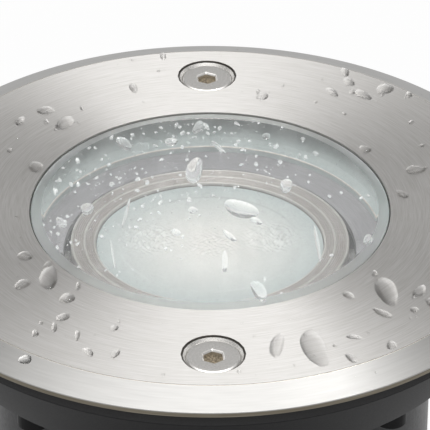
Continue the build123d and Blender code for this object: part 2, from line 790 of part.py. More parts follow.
with BuildPart() as lamp_pins:
    with BuildSketch(Plane.XY.offset(up(holder_face))):
        with GridLocations(pin_spacing, 0, 2, 1):
            Circle(pin_neck_d / 2)
    extrude(amount=-pin_neck_length)
    with BuildSketch(Plane.XY.offset(up(holder_face + pin_neck_length))):
        with GridLocations(pin_spacing, 0, 2, 1):
            Circle(pin_head_d / 2)
    extrude(amount=-pin_head_length)
    chamfer(lamp_pins.faces().sort_by(Axis.Z)[:2].edges(), 0.6)
save(tipped(lamp_pins.part), "lamp_pins")

# ---------------------------------------------------------------- terminal block and earth screw
block_foot = pot_floor_t + block_post_h
block_top = block_foot + block_height
with BuildPart() as block:
    with BuildSketch(Plane.XY.offset(block_foot)):
        with Locations((0, block_y)):
            Rectangle(block_length, block_width)
    extrude(amount=block_height)
    chamfer(block.edges().filter_by(Axis.X).group_by(Axis.Z)[-1], 2.0)
    with BuildSketch(Plane.XZ.offset(-block_y + block_width / 2)):
        with Locations((0, block_foot + block_height * 0.42)):
            with GridLocations(block_way_pitch, 0, block_ways, 1):
                Circle(block_entry_d / 2)
    extrude(amount=-block_width, mode=Mode.SUBTRACT)
    with Locations((0, block_y, block_top)):
        with GridLocations(block_way_pitch, block_width / 2, block_ways, 2):
            Hole(block_screw_well_d / 2, depth=block_height * 0.4)
        with GridLocations(block_way_pitch, 0, 2, 1):
            Hole(block_fixing_d / 2 + 0.2, depth=block_height)
save(block.part, "terminal_block")

with BuildPart() as block_screws:
    with BuildSketch(Plane.XY.offset(block_top - 1.4)):
        with Locations((0, block_y)):
            with GridLocations(block_way_pitch, block_width / 2, block_ways, 2):
                Circle(block_screw_d / 2)
    extrude(amount=-block_screw_length)
save(block_screws.part, "terminal_screws")

with BuildPart() as block_fixings:
    with BuildSketch(Plane.XY.offset(block_top)):
        with Locations((0, block_y)):
            with GridLocations(block_way_pitch, 0, 2, 1):
                Circle(block_fixing_head_d / 2)
    extrude(amount=block_fixing_head_t)
    with BuildSketch(Plane.XY.offset(block_top)):
        with Locations((0, block_y)):
            with GridLocations(block_way_pitch, 0, 2, 1):
                Circle(block_fixing_d / 2)
    extrude(amount=-(block_height + block_fixing_bite))
save(block_fixings.part, "block_fixing_screws")

earth_top = pot_floor_t + earth_post_h
with BuildPart() as earth_screw:
    with BuildSketch(Plane.XY.offset(earth_top)):
        with Locations((earth_x, earth_y)):
            Circle(earth_screw_d / 2)
    extrude(amount=-earth_screw_bite)
    with BuildSketch(Plane.XY.offset(earth_top)):
        with Locations((earth_x, earth_y)):
            Circle(earth_screw_d / 2)
    extrude(amount=earth_washer_t)
    with BuildSketch(Plane.XY.offset(earth_top + earth_washer_t)):
        with Locations((earth_x, earth_y)):
            Circle(earth_head_d / 2)
    extrude(amount=earth_head_t)
    with BuildSketch(Plane.XY.offset(earth_top + earth_washer_t + earth_head_t)):
        with Locations((earth_x, earth_y)):
            Rectangle(earth_head_d * 0.8, 1.0)
    extrude(amount=-1.2, mode=Mode.SUBTRACT)
save(earth_screw.part, "earth_screw")

with BuildPart() as earth_washer:
    with BuildSketch(Plane.XY.offset(earth_top)):
        with Locations((earth_x, earth_y)):
            Circle(earth_washer_d / 2)
            Circle(earth_screw_d / 2, mode=Mode.SUBTRACT)
    extrude(amount=earth_washer_t)
save(earth_washer.part, "earth_washer")

# ---------------------------------------------------------------- cable gland, along +Y
hex_start = gland_flat_y + gland_washer_t
neck_start = hex_start + gland_hex_t
nut_start = neck_start + gland_nut_start
nut_end = nut_start + gland_nut_length
seal_end = neck_start + gland_neck_length
with BuildPart() as gland_body:
    with BuildSketch(gland_plane.offset(gland_flat_y + gland_washer_t)):
        RegularPolygon(gland_af / 2, 6, major_radius=False)
    extrude(amount=gland_hex_t)
    with BuildSketch(gland_plane.offset(gland_flat_y + gland_washer_t)):
        Circle(gland_thread_d / 2)
    extrude(amount=-gland_thread_length)
    with BuildSketch(gland_plane.offset(neck_start)):
        Circle(gland_neck_d / 2)
    extrude(amount=gland_neck_length)
    with BuildSketch(gland_plane.offset(seal_end)):
        Circle(gland_bore_d / 2)
    extrude(amount=-(seal_end - hex_start + gland_thread_length), mode=Mode.SUBTRACT)
save(gland_body.part, "gland_body")

with BuildPart() as gland_washer:
    with BuildSketch(gland_plane.offset(gland_flat_y)):
        Circle(gland_af / 2)
        Circle(gland_thread_d / 2, mode=Mode.SUBTRACT)
    extrude(amount=gland_washer_t)
save(gland_washer.part, "gland_washer")

with BuildPart() as gland_seal:
    with BuildSketch(gland_plane.offset(seal_end - gland_seal_recess)):
        Circle(gland_bore_d / 2)
        Circle(gland_cable_d / 2, mode=Mode.SUBTRACT)
    extrude(amount=-(gland_neck_length - gland_seal_recess))
save(gland_seal.part, "gland_seal")

nut_bore_r = gland_neck_d / 2 + thread_clearance
with BuildPart() as gland_nut:
    with BuildSketch(gland_plane.offset(nut_start)):
        RegularPolygon(gland_af / 2, 6, major_radius=False)
    extrude(amount=gland_nut_length * 0.6)
    with BuildSketch(gland_plane.offset(nut_start + gland_nut_length * 0.6)):
        Circle(gland_af / 2)
    with BuildSketch(gland_plane.offset(nut_end)):
        Circle(gland_nut_mouth_d / 2 + 1.6)
    loft()
    with BuildSketch(gland_plane.offset(nut_start)):
        Circle(nut_bore_r)
    extrude(amount=gland_neck_length - gland_nut_start + 0.5, mode=Mode.SUBTRACT)
    with BuildSketch(gland_plane.offset(nut_start)):
        Circle(gland_nut_mouth_d / 2)
    extrude(amount=gland_nut_length, mode=Mode.SUBTRACT)
save(gland_nut.part, "gland_nut")

with BuildPart() as locknut:
    with BuildSketch(gland_plane.offset(gland_inner_y)):
        RegularPolygon(gland_af / 2, 6, major_radius=False)
        Circle(gland_thread_d / 2, mode=Mode.SUBTRACT)
    extrude(amount=-locknut_t)
save(locknut.part, "gland_locknut")
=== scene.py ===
"""In-ground well light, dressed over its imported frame.

A brushed steel cover ring lies flush round a stepped glass, wet with rain. Under it are a black
collar and pot, and a frosted lamp in a ridged bezel that is tipped with its front edge up. Sizes
in this file are in millimetres and depths are measured down from the ring's top face; meshes are
written in metres.
"""

import logging
import math
from dataclasses import dataclass, field
from enum import Enum
from typing import Any, Dict, List, Optional, Sequence, Tuple

import bmesh
import bpy
import numpy as np
from mathutils import Matrix

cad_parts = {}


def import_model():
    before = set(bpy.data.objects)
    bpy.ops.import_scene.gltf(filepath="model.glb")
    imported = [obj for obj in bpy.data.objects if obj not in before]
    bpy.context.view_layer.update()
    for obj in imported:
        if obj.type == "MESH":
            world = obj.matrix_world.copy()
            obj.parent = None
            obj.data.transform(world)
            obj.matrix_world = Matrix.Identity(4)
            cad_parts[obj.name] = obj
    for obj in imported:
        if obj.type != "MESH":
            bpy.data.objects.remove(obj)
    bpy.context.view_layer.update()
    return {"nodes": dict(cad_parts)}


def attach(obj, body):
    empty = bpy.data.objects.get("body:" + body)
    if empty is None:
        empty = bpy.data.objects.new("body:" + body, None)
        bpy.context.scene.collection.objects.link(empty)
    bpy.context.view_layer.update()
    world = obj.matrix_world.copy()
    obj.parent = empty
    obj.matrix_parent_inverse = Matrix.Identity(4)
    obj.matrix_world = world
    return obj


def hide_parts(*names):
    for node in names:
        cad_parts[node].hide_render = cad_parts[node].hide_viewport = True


LOG = logging.getLogger("well_light")

MM = 0.001
TURN = 2.0 * math.pi

# Sizes that more than one sub-assembly is built on.
RING_TOP = 120.0
RING_R = 75.0
BEVEL_R = 68.4
BEVEL_DROP = 2.45
GLASS_R = 40.3
SCREW_CIRCLE_R = 57.0
TILT_AXIS_DEPTH = 19.9
TILT_DEG = 2.5

# Spans in each eased corner of a profile.
CURVE_STEPS = 4
# Points nearer than the first are one, and faces narrower than the second go, in metres.
WELD_M, SLIVER_M = 2e-6, 1e-7

# The middle band of a noise, which is spread from one end of a range to the other.
NOISE_LOW, NOISE_HIGH = 0.3, 0.7
NOISE_BAND = {"From Min": NOISE_LOW, "From Max": NOISE_HIGH}
# How far the pattern of turned work changes round the axis, in noise cells for each radian.
TURNED_SPAN = 7.0
# Cells of the haze on glass for each metre: streaks 4 mm wide and 17 mm long.
HAZE_CELLS = (250.0, 60.0, 250.0)
# Node types that are used most.
MATH, VECTOR_MATH = "ShaderNodeMath", "ShaderNodeVectorMath"
# Socket numbers of a Mix node that mixes colours.
MIX_SHARE, MIX_A, MIX_B, MIX_OUT = 0, 6, 7, 2

Colour = Tuple[float, float, float, float]
Profile = Sequence[Tuple[float, float]]
Tree = bpy.types.NodeTree


# ---------------------------------------------------------------- colours and nodes
def linear(code: str) -> Colour:
    """Linear colour of an sRGB hex value.

    Each channel c is c / 12.92 below 0.04045, and ((c + 0.055) / 1.055) ** 2.4 above.

    Args:
        code: Six hex digits, such as "c9c7c5".

    Returns:
        Red, green, blue and an opacity of 1.
    """
    c = np.array([int(code[i : i + 2], 16) for i in (0, 2, 4)]) / 255.0
    c = np.where(c <= 0.04045, c / 12.92, ((c + 0.055) / 1.055) ** 2.4)
    return (float(c[0]), float(c[1]), float(c[2]), 1.0)


def grey(value: float) -> Colour:
    """A neutral linear colour."""
    return (value, value, value, 1.0)


def add_node(
    tree: Tree,
    kind: str,
    inputs: Optional[Dict[Any, Any]] = None,
    stops: Sequence[Tuple[float, Colour]] = (),
    **settings: Any,
) -> Any:
    """Adds one node, sets its properties, and fills its sockets and stops.

    Args:
        tree: Tree that gets the node.
        kind: Node type, such as "ShaderNodeMath".
        inputs: Socket name or number to a value or to another node's output.
        stops: A colour ramp's positions and colours, in rising order.
        settings: Properties of the node.

    Returns:
        The node.
    """
    node = tree.nodes.new(kind)
    for name, value in settings.items():
        setattr(node, name, value)
    for key, value in (inputs or {}).items():
        if isinstance(value, bpy.types.NodeSocket):
            tree.links.new(value, node.inputs[key])
        else:
            node.inputs[key].default_value = value
    if stops:
        band = node.color_ramp.elements
        while len(band) < len(stops):
            band.new(0.5)
        for element, (position, colour) in zip(band, stops):
            element.position = position
            element.color = colour
    return node


def start_material(name: str, values: Dict[str, Any]) -> Tuple[bpy.types.Material, Any]:
    """Starts a node material with values on its main shader's own sockets.

    Args:
        name: Name of the material.
        values: Socket name to value.

    Returns:
        The material and its main shader.
    """
    made = bpy.data.materials.new(name)
    made.use_nodes = True
    shader = made.node_tree.nodes["Principled BSDF"]
    for socket, value in values.items():
        shader.inputs[socket].default_value = value
    return made, shader


class Grain(Enum):
    """How a surface was worked, which sets the pattern on it."""

    TURNED = "fine circles round the light's axis"
    MOULDED = "fine even texture of a moulded face"
    CAST = "soft orange-peel of a coated casting"
    PLAIN = "smooth"


@dataclass(frozen=True)
class Finish:
    """One real material with its surface.

    The grain's size and its depth, which is the height of the bump, are in millimetres. The
    grade's stops are colours that multiply the material's own, each at a radius or, by depth, at
    a depth in millimetres.
    """

    name: str
    colour: str
    dark: str
    metallic: float = 0.0
    roughness: float = 0.5
    spread: float = 0.05
    anisotropic: float = 0.0
    ior: float = 1.5
    coat: float = 0.0
    grain: Grain = Grain.PLAIN
    grain_mm: float = 0.5
    depth_mm: float = 0.01
    grade: Tuple[Tuple[float, str], ...] = ()
    by_depth: bool = False

    def material(self) -> bpy.types.Material:
        """Builds the node material, once for each name.

        Returns:
            The material.
        """
        found = bpy.data.materials.get(self.name)
        if found:
            return found
        plain = {
            "Metallic": self.metallic,
            "Anisotropic": self.anisotropic,
            "IOR": self.ior,
            "Coat Weight": self.coat,
        }
        made, shader = start_material(self.name, plain)
        tree = made.node_tree
        place = add_node(tree, "ShaderNodeTexCoord").outputs["Object"]
        cells = {"Scale": 1.0, "Detail": 3.0, "Roughness": 0.6}
        noise = add_node(
            tree, "ShaderNodeTexNoise", {"Vector": self.pattern(tree, place), **cells}
        ).outputs["Fac"]
        tone = add_node(
            tree,
            "ShaderNodeValToRGB",
            {"Fac": noise},
            [(NOISE_LOW, linear(self.dark)), (NOISE_HIGH, linear(self.colour))],
        ).outputs["Color"]
        ends = {"To Min": self.roughness + self.spread, "To Max": self.roughness - self.spread}
        rough = add_node(tree, "ShaderNodeMapRange", {"Value": noise, **NOISE_BAND, **ends})
        fed = {
            "Base Color": self.graded(tree, place, tone) if self.grade else tone,
            "Roughness": rough.outputs["Result"],
        }
        if self.grain is not Grain.PLAIN:
            relief = {"Height": noise, "Distance": self.depth_mm * MM, "Strength": 1.0}
            fed["Normal"] = add_node(tree, "ShaderNodeBump", relief).outputs["Normal"]
        if self.anisotropic:
            fed["Tangent"] = self.across(tree, place)
        for socket, output in fed.items():
            tree.links.new(output, shader.inputs[socket])
        return made

    def graded(self, tree: Tree, place: Any, tone: Any) -> Any:
        """Colour multiplied by the grade, which runs outward from the axis or down from the top.

        Args:
            tree: Tree that gets the nodes.
            place: Object coordinates.
            tone: Output with the plain colour.

        Returns:
            The graded colour.
        """
        if self.by_depth:
            parts = add_node(tree, "ShaderNodeSeparateXYZ", {"Vector": place})
            drop = {0: RING_TOP * MM, 1: parts.outputs["Z"]}
            run = add_node(tree, MATH, drop, operation="SUBTRACT").outputs[0]
        else:
            run = self.radius(tree, place)
        reach = self.grade[-1][0]
        share = {0: run, 1: 1.0 / (reach * MM)}
        part = add_node(tree, MATH, share, operation="MULTIPLY")
        tint = add_node(
            tree,
            "ShaderNodeValToRGB",
            {"Fac": part.outputs[0]},
            [(mm / reach, linear(code)) for mm, code in self.grade],
        )
        node = add_node(
            tree,
            "ShaderNodeMix",
            {MIX_SHARE: 1.0, MIX_A: tone, MIX_B: tint.outputs["Color"]},
            data_type="RGBA",
            blend_type="MULTIPLY",
        )
        return node.outputs[MIX_OUT]

    def pattern(self, tree: Tree, place: Any) -> Any:
        """Pattern coordinates in grain sizes.

        On turned work they are TURNED_SPAN times the unit vector out from the axis, with
        (radius + height) / grain as the third, so that the pattern runs in circles. Elsewhere
        they are the place divided by the grain's size.

        Args:
            tree: Tree that gets the nodes.
            place: Object coordinates.

        Returns:
            A vector output.
        """
        step = 1.0 / (self.grain_mm * MM)
        if self.grain is not Grain.TURNED:
            scaled = add_node(tree, VECTOR_MATH, {0: place, "Scale": step}, operation="SCALE")
            return scaled.outputs["Vector"]
        outward = {0: self.across(tree, place), "Scale": TURNED_SPAN}
        around = add_node(tree, VECTOR_MATH, outward, operation="SCALE")
        parts = add_node(tree, "ShaderNodeSeparateXYZ", {"Vector": place})
        climb = {0: self.radius(tree, place), 1: parts.outputs["Z"]}
        reach = add_node(tree, MATH, climb, operation="ADD")
        rings = add_node(tree, MATH, {0: reach.outputs[0], 1: step}, operation="MULTIPLY")
        rise = add_node(tree, "ShaderNodeCombineXYZ", {"Z": rings.outputs[0]})
        both = {0: around.outputs["Vector"], 1: rise.outputs["Vector"]}
        return add_node(tree, VECTOR_MATH, both, operation="ADD").outputs["Vector"]

    def flat(self, tree: Tree, place: Any) -> Any:
        """The place with its height taken out."""
        level = {0: place, 1: (1.0, 1.0, 0.0)}
        return add_node(tree, VECTOR_MATH, level, operation="MULTIPLY").outputs["Vector"]

    def radius(self, tree: Tree, place: Any) -> Any:
        """Distance from the axis."""
        level = {0: self.flat(tree, place)}
        return add_node(tree, VECTOR_MATH, level, operation="LENGTH").outputs["Value"]

    def across(self, tree: Tree, place: Any) -> Any:
        """Unit vector out from the axis, across the turning lines, which draws highlights out."""
        level = {0: self.flat(tree, place)}
        return add_node(tree, VECTOR_MATH, level, operation="NORMALIZE").outputs["Vector"]


# Stainless sheet, faced on a lathe and brushed: bright lobes front and back, warm grey at the
# sides. Its real lines are about 0.05 mm apart, drawn at 0.24 mm so that they show.
BRUSHED_RING = Finish(
    "stainless_steel_brushed", "cfcdcb", "bfbdb9", 1.0, 0.45, 0.05, 0.93, grain=Grain.TURNED,
    grain_mm=0.24, depth_mm=0.006,
)
# The same sheet's bevel, cut with a fine tool: smoother and less streaked. It is painted deeper
# in tone than the flats: painted shade that tones down its reflection.
BEVEL_SHADED_STEEL = Finish(
    "stainless_steel_bevel_painted_shade", "9b9a98", "969593", 1.0, 0.3, 0.02, 0.6, grain=Grain.TURNED,
    grain_mm=0.3, depth_mm=0.0008,
)
# The arris between them, smoother: a thin darker line of painted shade.
ARRIS_SHADE_LINE = Finish("stainless_steel_arris_painted_shade", "b9b5ae", "a7a39b", 1.0, 0.25, 0.04)
# The sheet's cut edge: straw-grey and duller.
CUT_EDGE = Finish(
    "stainless_steel_cut_edge", "7f796d", "655f53", 1.0, 0.42, 0.05, grain=Grain.TURNED,
    grain_mm=0.25, depth_mm=0.004,
)
# The countersink's drilled lip, painted dark: a painted shadow line round its mouth. Its cone,
# chatter-marked by the cutter, is painted pale: a painted reflection of the sky.
SINK_LIP_SHADE = Finish("stainless_steel_sink_painted_shade", "6b6863", "4a4743", 1.0, 0.4, 0.05)
COUNTERSINK_REFLECTION = Finish(
    "stainless_steel_sink_painted_reflection", "eceae7", "b4b1ab", 0.7, 0.26, 0.06, grain=Grain.MOULDED,
    grain_mm=0.3, depth_mm=0.02,
)
# Stainless screw, turned head: a satin face, with a whiter rim that is a painted highlight.
SCREW_STEEL = Finish(
    "stainless_steel_satin", "cccac8", "a19f9b", 0.85, 0.42, 0.06, grain=Grain.MOULDED,
    grain_mm=0.3, depth_mm=0.015,
)
# Polished steel painted whiter: the painted highlight on the head's rim and the socket's walls.
SCREW_RIM_HIGHLIGHT = Finish("stainless_steel_rim_painted_highlight", "e6e4e1", "dcdad6", 1.0, 0.22, 0.03)
# The socket's drilled floor, with a film of rust and oil: a mottled brown.
SOCKET_FLOOR = Finish(
    "stainless_steel_socket_floor", "b3a48b", "2f2920", 0.2, 0.55, 0.08, grain=Grain.MOULDED,
    grain_mm=0.42, depth_mm=0.06,
)
# Glass-filled nylon, moulded with a fine spark texture: deep charcoal with a soft sheen, and
# painted greyer on the chamfer under the ring: a painted sheen where it catches the light.
COLLAR_PLASTIC = Finish(
    "nylon_glass_filled_moulded", "ededed", "d6d6d6", 0.0, 0.5, 0.05, ior=1.18,
    grain=Grain.MOULDED, grain_mm=0.22, depth_mm=0.006, by_depth=True,
    # The paler band from 5.9 to 7.6 mm down is the chamfer's painted sheen.
    grade=(
        (0.0, "1b1b1c"), (5.7, "1b1b1c"), (5.9, "525253"), (7.6, "525253"), (7.9, "1b1b1c"),
        (40.0, "1b1b1c"),
    ),
)
# Die-cast aluminium under dark powder coat: satin with a faint orange peel.
POT_COAT = Finish(
    "aluminium_powder_coated", "222224", "1d1d1f", 0.0, 0.36, 0.04, ior=1.22, grain=Grain.CAST,
    grain_mm=0.9, depth_mm=0.012,
)
# Silicone, moulded: dull grey-green.
SILICONE = Finish(
    "silicone_moulded", "434744", "383b39", 0.0, 0.6, 0.05, grain=Grain.MOULDED, grain_mm=0.3,
)
# Pressed aluminium, pale blue-grey satin enamel.
TRIM_ENAMEL = Finish(
    "aluminium_satin_enamel", "bfc6c6", "b5bdbd", 0.0, 0.42, 0.05, grain=Grain.CAST,
    grain_mm=1.1, depth_mm=0.006,
)
# The trim's rolled bead: a thin warm line, painted pale as its highlight.
TRIM_BEAD_HIGHLIGHT = Finish("aluminium_bead_painted_highlight", "efe6e0", "e4dad3", 0.4, 0.3, 0.04)
# Pressed steel plate, mid-grey satin enamel: a soft sheen over faint circles.
SHELF_ENAMEL = Finish(
    "steel_satin_enamel", "969296", "898589", 0.0, 0.45, 0.05, grain=Grain.TURNED, grain_mm=0.5,
    depth_mm=0.004,
)
# Black-oxide steel of the tilt screws: dark with a dull sheen.
BLACK_OXIDE = Finish(
    "steel_black_oxide", "4c4b4a", "3f3e3d", 0.6, 0.4, 0.05, grain=Grain.MOULDED, grain_mm=0.3,
)
# Turned aluminium of the lamp's cradle: dull dark grey.
CRADLE_ALLOY = Finish(
    "aluminium_turned_grey", "615e5b", "54514e", 0.4, 0.42, 0.05, grain=Grain.TURNED,
    grain_mm=0.4, depth_mm=0.003,
)
# Turned aluminium, anodised: warm grey, silky across its ridges.
BEZEL_ALLOY = Finish(
    "aluminium_turned_anodised", "aea6a2", "958d89", 0.35, 0.4, 0.06, 0.5, grain=Grain.TURNED,
    grain_mm=0.25, depth_mm=0.004,
)
# The bezel's crests, smoother and painted paler: a painted highlight line along each.
BEZEL_CREST_HIGHLIGHT = Finish("aluminium_crest_painted_highlight", "c6c0bc", "b7b1ad", 0.3, 0.3, 0.03)
# Polycarbonate lens, frosted in the mould: milky with a glossy face. Its grade is a painted
# glow: warm and paler in the middle, darker and cooler towards the edge.
LENS_FROST = Finish(
    "polycarbonate_frosted", "edeceb", "e0e0df", 0.0, 0.3, 0.06, coat=1.0, grain=Grain.MOULDED,
    grain_mm=0.8, depth_mm=0.03,
    # Painted glow: pale in the middle, fading darker towards the edge.
    grade=((0.0, "fff9f6"), (9.0, "f9f6f4"), (19.0, "dddfdf"), (26.0, "bfc9ca")),
)
# Moulded polyester of the lamp's shell and base: plain white with some gloss.
LAMP_WHITE = Finish(
    "polyester_moulded_white", "e6e5e1", "dcdbd7", 0.0, 0.35, 0.04, grain=Grain.MOULDED,
    grain_mm=0.6, depth_mm=0.004,
)
# Zinc-plated steel fixings: bright and faintly cool.
ZINC_STEEL = Finish(
    "steel_zinc_plated", "c2c4c4", "a9acad", 1.0, 0.34, 0.06, grain=Grain.MOULDED, grain_mm=0.4,
    depth_mm=0.004,
)
# Glazed steatite of the lamp holder: cream under a clear gloss.
STEATITE = Finish(
    "steatite_glazed", "e8e2d6", "ded7c9", 0.0, 0.22, 0.04, coat=0.5, grain=Grain.CAST,
    grain_mm=1.2, depth_mm=0.008,
)
# Turned brass: warm yellow, satin.
BRASS = Finish(
    "brass_turned", "c9a663", "b08f50", 1.0, 0.3, 0.06, grain=Grain.MOULDED, grain_mm=0.3,
    depth_mm=0.003,
)
# Nickel-plated brass pins: pale and smooth.
NICKEL = Finish(
    "brass_nickel_plated", "c4c0b8", "aeaaa2", 1.0, 0.25, 0.04, grain=Grain.MOULDED,
    grain_mm=0.3,
)
# Black nylon of the cable gland, moulded: near black with a soft sheen.
GLAND_NYLON = Finish(
    "nylon_moulded_black", "262627", "202021", 0.0, 0.45, 0.05, grain=Grain.MOULDED,
    grain_mm=0.3, depth_mm=0.006,
)
# Natural nylon of the terminal block and washers, moulded: cream and slightly waxy.
NYLON_NATURAL = Finish(
    "nylon_moulded_natural", "ddd8c9", "cfc9b8", 0.0, 0.4, 0.05, grain=Grain.MOULDED,
    grain_mm=0.4, depth_mm=0.004,
)
# Moulded rubber of the gaskets: matt black.
RUBBER = Finish(
    "rubber_moulded", "1c1c1c", "161616", 0.0, 0.65, 0.05, grain=Grain.MOULDED, grain_mm=0.35,
)


@dataclass(frozen=True)
class ClearFinish:
    """A see-through material: glass or water.

    The veil is the share of a pale haze on it, painted light that stands in for reflected and
    gathered light; it runs in faint streaks toward the front.
    """

    name: str
    tint: str
    ior: float
    roughness: float = 0.0
    grain_mm: float = 0.0
    veil: float = 0.0
    depth_mm: float = 0.01

    def material(self) -> bpy.types.Material:
        """Builds the node material, once for each name.

        Shadow rays pass, so that what lies under it is lit.

        Returns:
            The material.
        """
        found = bpy.data.materials.get(self.name)
        if found:
            return found
        plain = {
            "Base Color": linear(self.tint),
            "Roughness": self.roughness,
            "IOR": self.ior,
            "Transmission Weight": 1.0,
        }
        made, shader = start_material(self.name, plain)
        tree = made.node_tree
        place = add_node(tree, "ShaderNodeTexCoord").outputs["Object"]
        if self.grain_mm:
            cells = {"Vector": place, "Scale": 1.0 / (self.grain_mm * MM), "Detail": 2.0}
            noise = add_node(tree, "ShaderNodeTexNoise", cells)
            relief = {"Height": noise.outputs["Fac"], "Distance": self.depth_mm * MM}
            bump = add_node(tree, "ShaderNodeBump", relief)
            tree.links.new(bump.outputs["Normal"], shader.inputs["Normal"])
        seen = shader.outputs["BSDF"]
        if self.veil:
            seen = self.hazed(tree, place, seen)
        clear = add_node(tree, "ShaderNodeBsdfTransparent", {"Color": linear(self.tint)})
        rays = add_node(tree, "ShaderNodeLightPath")
        either = {"Fac": rays.outputs["Is Shadow Ray"], 1: seen, 2: clear.outputs["BSDF"]}
        mix = add_node(tree, "ShaderNodeMixShader", either)
        tree.links.new(mix.outputs["Shader"], tree.nodes["Material Output"].inputs["Surface"])
        return made

    def hazed(self, tree: Tree, place: Any, clear: Any) -> Any:
        """The clear shader behind a pale haze of painted light, whose share is the veil times 0.7
        to 1.3.

        Args:
            tree: Tree that gets the nodes.
            place: Object coordinates.
            clear: Output of the clear shader.

        Returns:
            The hazed shader's output.
        """
        drawn = add_node(tree, "ShaderNodeMapping", {"Vector": place, "Scale": HAZE_CELLS})
        cells = {"Vector": drawn.outputs["Vector"], "Scale": 1.0, "Detail": 3.0}
        noise = add_node(tree, "ShaderNodeTexNoise", cells)
        ends = {"To Min": 0.7 * self.veil, "To Max": 1.3 * self.veil}
        share = add_node(
            tree, "ShaderNodeMapRange", {"Value": noise.outputs["Fac"], **NOISE_BAND, **ends}
        )
        milk = add_node(tree, "ShaderNodeBsdfDiffuse", {"Color": linear("f4f6f5")})
        either = {"Fac": share.outputs["Result"], 1: clear, 2: milk.outputs["BSDF"]}
        return add_node(tree, "ShaderNodeMixShader", either).outputs["Shader"]


# Toughened soda-lime glass, polished: clear with a breath of green.
POLISHED_GLASS = ClearFinish("glass_toughened_polished", "fcfefd", 1.52)
# Its top face: the same glass behind a pale haze, a painted reflection that pales what shows
# through it.
GLASS_TOP_PAINTED_REFLECTION = ClearFinish("glass_toughened_painted_reflection", "fcfefd", 1.52, veil=0.16)
# Its edge, ground on a wheel: a pale green haze.
GROUND_GLASS = ClearFinish("glass_ground_edge", "eef6f3", 1.52, 0.4, 0.3, 0.14)
# Rain water on steel.
WATER = ClearFinish("water_clear", "f2f2f2", 1.333)
# Rain water on the glass, whitened by the light that it gathers, and its finest specks, which
# look like mist.
WATER_ON_GLASS = ClearFinish("water_bright", "ffffff", 1.333, veil=0.07)
WATER_MIST = ClearFinish("water_mist", "ffffff", 1.333, veil=0.2)


# ---------------------------------------------------------------- surfaces
def rounded(corners: Profile, radius: float) -> np.ndarray:
    """Profile whose inner corners are eased.

    A corner B between A and C, which lie one radius from B along its two edges, becomes the curve
    (1 - t)^2 A + 2 t (1 - t) B + t^2 C. A guard point half a radius further out on each edge
    keeps the flats flat when they are shaded.

    Args:
        corners: (radius, depth) pairs.
        radius: Length that each corner gives up, at most a third of its shorter edge.

    Returns:
        An array of (radius, depth) rows.
    """
    p = np.asarray(corners, float)
    b, before, after = p[1:-1], p[:-2] - p[1:-1], p[2:] - p[1:-1]
    lengths = np.stack([np.linalg.norm(before, axis=1), np.linalg.norm(after, axis=1)])
    give = np.minimum(radius, lengths.min(axis=0) / 3.0)[:, None]
    a = b + before / lengths[0][:, None] * give
    c = b + after / lengths[1][:, None] * give
    t = np.linspace(0.0, 1.0, CURVE_STEPS + 1)[None, :, None]
    curve = (1 - t) ** 2 * a[:, None] + 2 * t * (1 - t) * b[:, None] + t**2 * c[:, None]
    guards = (a + (a - b) * 0.5)[:, None], (c + (c - b) * 0.5)[:, None]
    middle = np.concatenate([guards[0], curve, guards[1]], axis=1).reshape(-1, 2)
    return np.concatenate([p[:1], middle, p[-1:]])


def angles(count: int) -> np.ndarray:
    """Evenly spaced angles in a full turn."""
    return np.arange(count) / count * TURN


def revolve(
    profile: np.ndarray, around: np.ndarray, centre: Tuple[float, float] = (0.0, 0.0)
) -> np.ndarray:
    """Surface of revolution: (x, y, z) = (r cos a + cx, r sin a + cy, ring top - d).

    Args:
        profile: (radius, depth) rows.
        around: Angles of the columns.
        centre: Place of the axis.

    Returns:
        Points in an array of rows, columns and 3.
    """
    return stacked(profile[:, :1], profile[:, 1], around, centre)


def stacked(
    radii: np.ndarray,
    depths: np.ndarray,
    around: np.ndarray,
    centre: Tuple[float, float] = (0.0, 0.0),
) -> np.ndarray:
    """Surface through rings whose radius may vary with angle.

    (x, y) = centre + r(a) (cos a, sin a).

    Args:
        radii: Radius for each ring, or for each ring and angle.
        depths: Depth for each ring, or for each ring and angle.
        around: Angles of the columns.
        centre: Place of the axis.

    Returns:
        Points in an array of rows, columns and 3.
    """
    x = radii * np.cos(around)[None, :] + centre[0]
    y = radii * np.sin(around)[None, :] + centre[1]
    d = depths if depths.ndim == 2 else np.broadcast_to(depths[:, None], x.shape)
    return np.stack([x, y, RING_TOP - d], axis=-1)


def ruled(inner: np.ndarray, outer: np.ndarray, rows: int) -> np.ndarray:
    """Straight lines between closed curves, (1 - t) inner + t outer, with rows at t = k^1.6."""
    t = (np.linspace(0.0, 1.0, rows) ** 1.6)[:, None, None]
    return (1 - t) * inner[None] + t * outer[None]


def hexagon(around: np.ndarray, across: float, turned: float) -> np.ndarray:
    """Radius of a hexagon: half its width across flats / cos of the angle from the nearest flat.

    Args:
        around: Angles.
        across: Width across flats.
        turned: Angle that the hexagon is turned by.

    Returns:
        The radius at each angle.
    """
    sector = TURN / 6.0
    from_flat = np.mod(around - turned, sector) - sector / 2.0
    return across / 2.0 / np.cos(from_flat)


def tipped(points: np.ndarray) -> np.ndarray:
    """Points turned about the tilt axis by the lamp's aim.

    y' = y cos t + z sin t and z' = z cos t - y sin t, with z counted from the axis.

    Args:
        points: Points of a piece that stands upright.

    Returns:
        The turned points.
    """
    t = math.radians(TILT_DEG)
    axis = RING_TOP - TILT_AXIS_DEPTH
    out = points.copy()
    y, z = points[..., 1], points[..., 2] - axis
    out[..., 1] = y * math.cos(t) + z * math.sin(t)
    out[..., 2] = z * math.cos(t) - y * math.sin(t) + axis
    return out


def swung(one: np.ndarray, other: np.ndarray, degrees: float) -> Tuple[np.ndarray, np.ndarray]:
    """Two axes turned in their plane, the first towards the second."""
    c, s = math.cos(math.radians(degrees)), math.sin(math.radians(degrees))
    return one * c + other * s, other * c - one * s


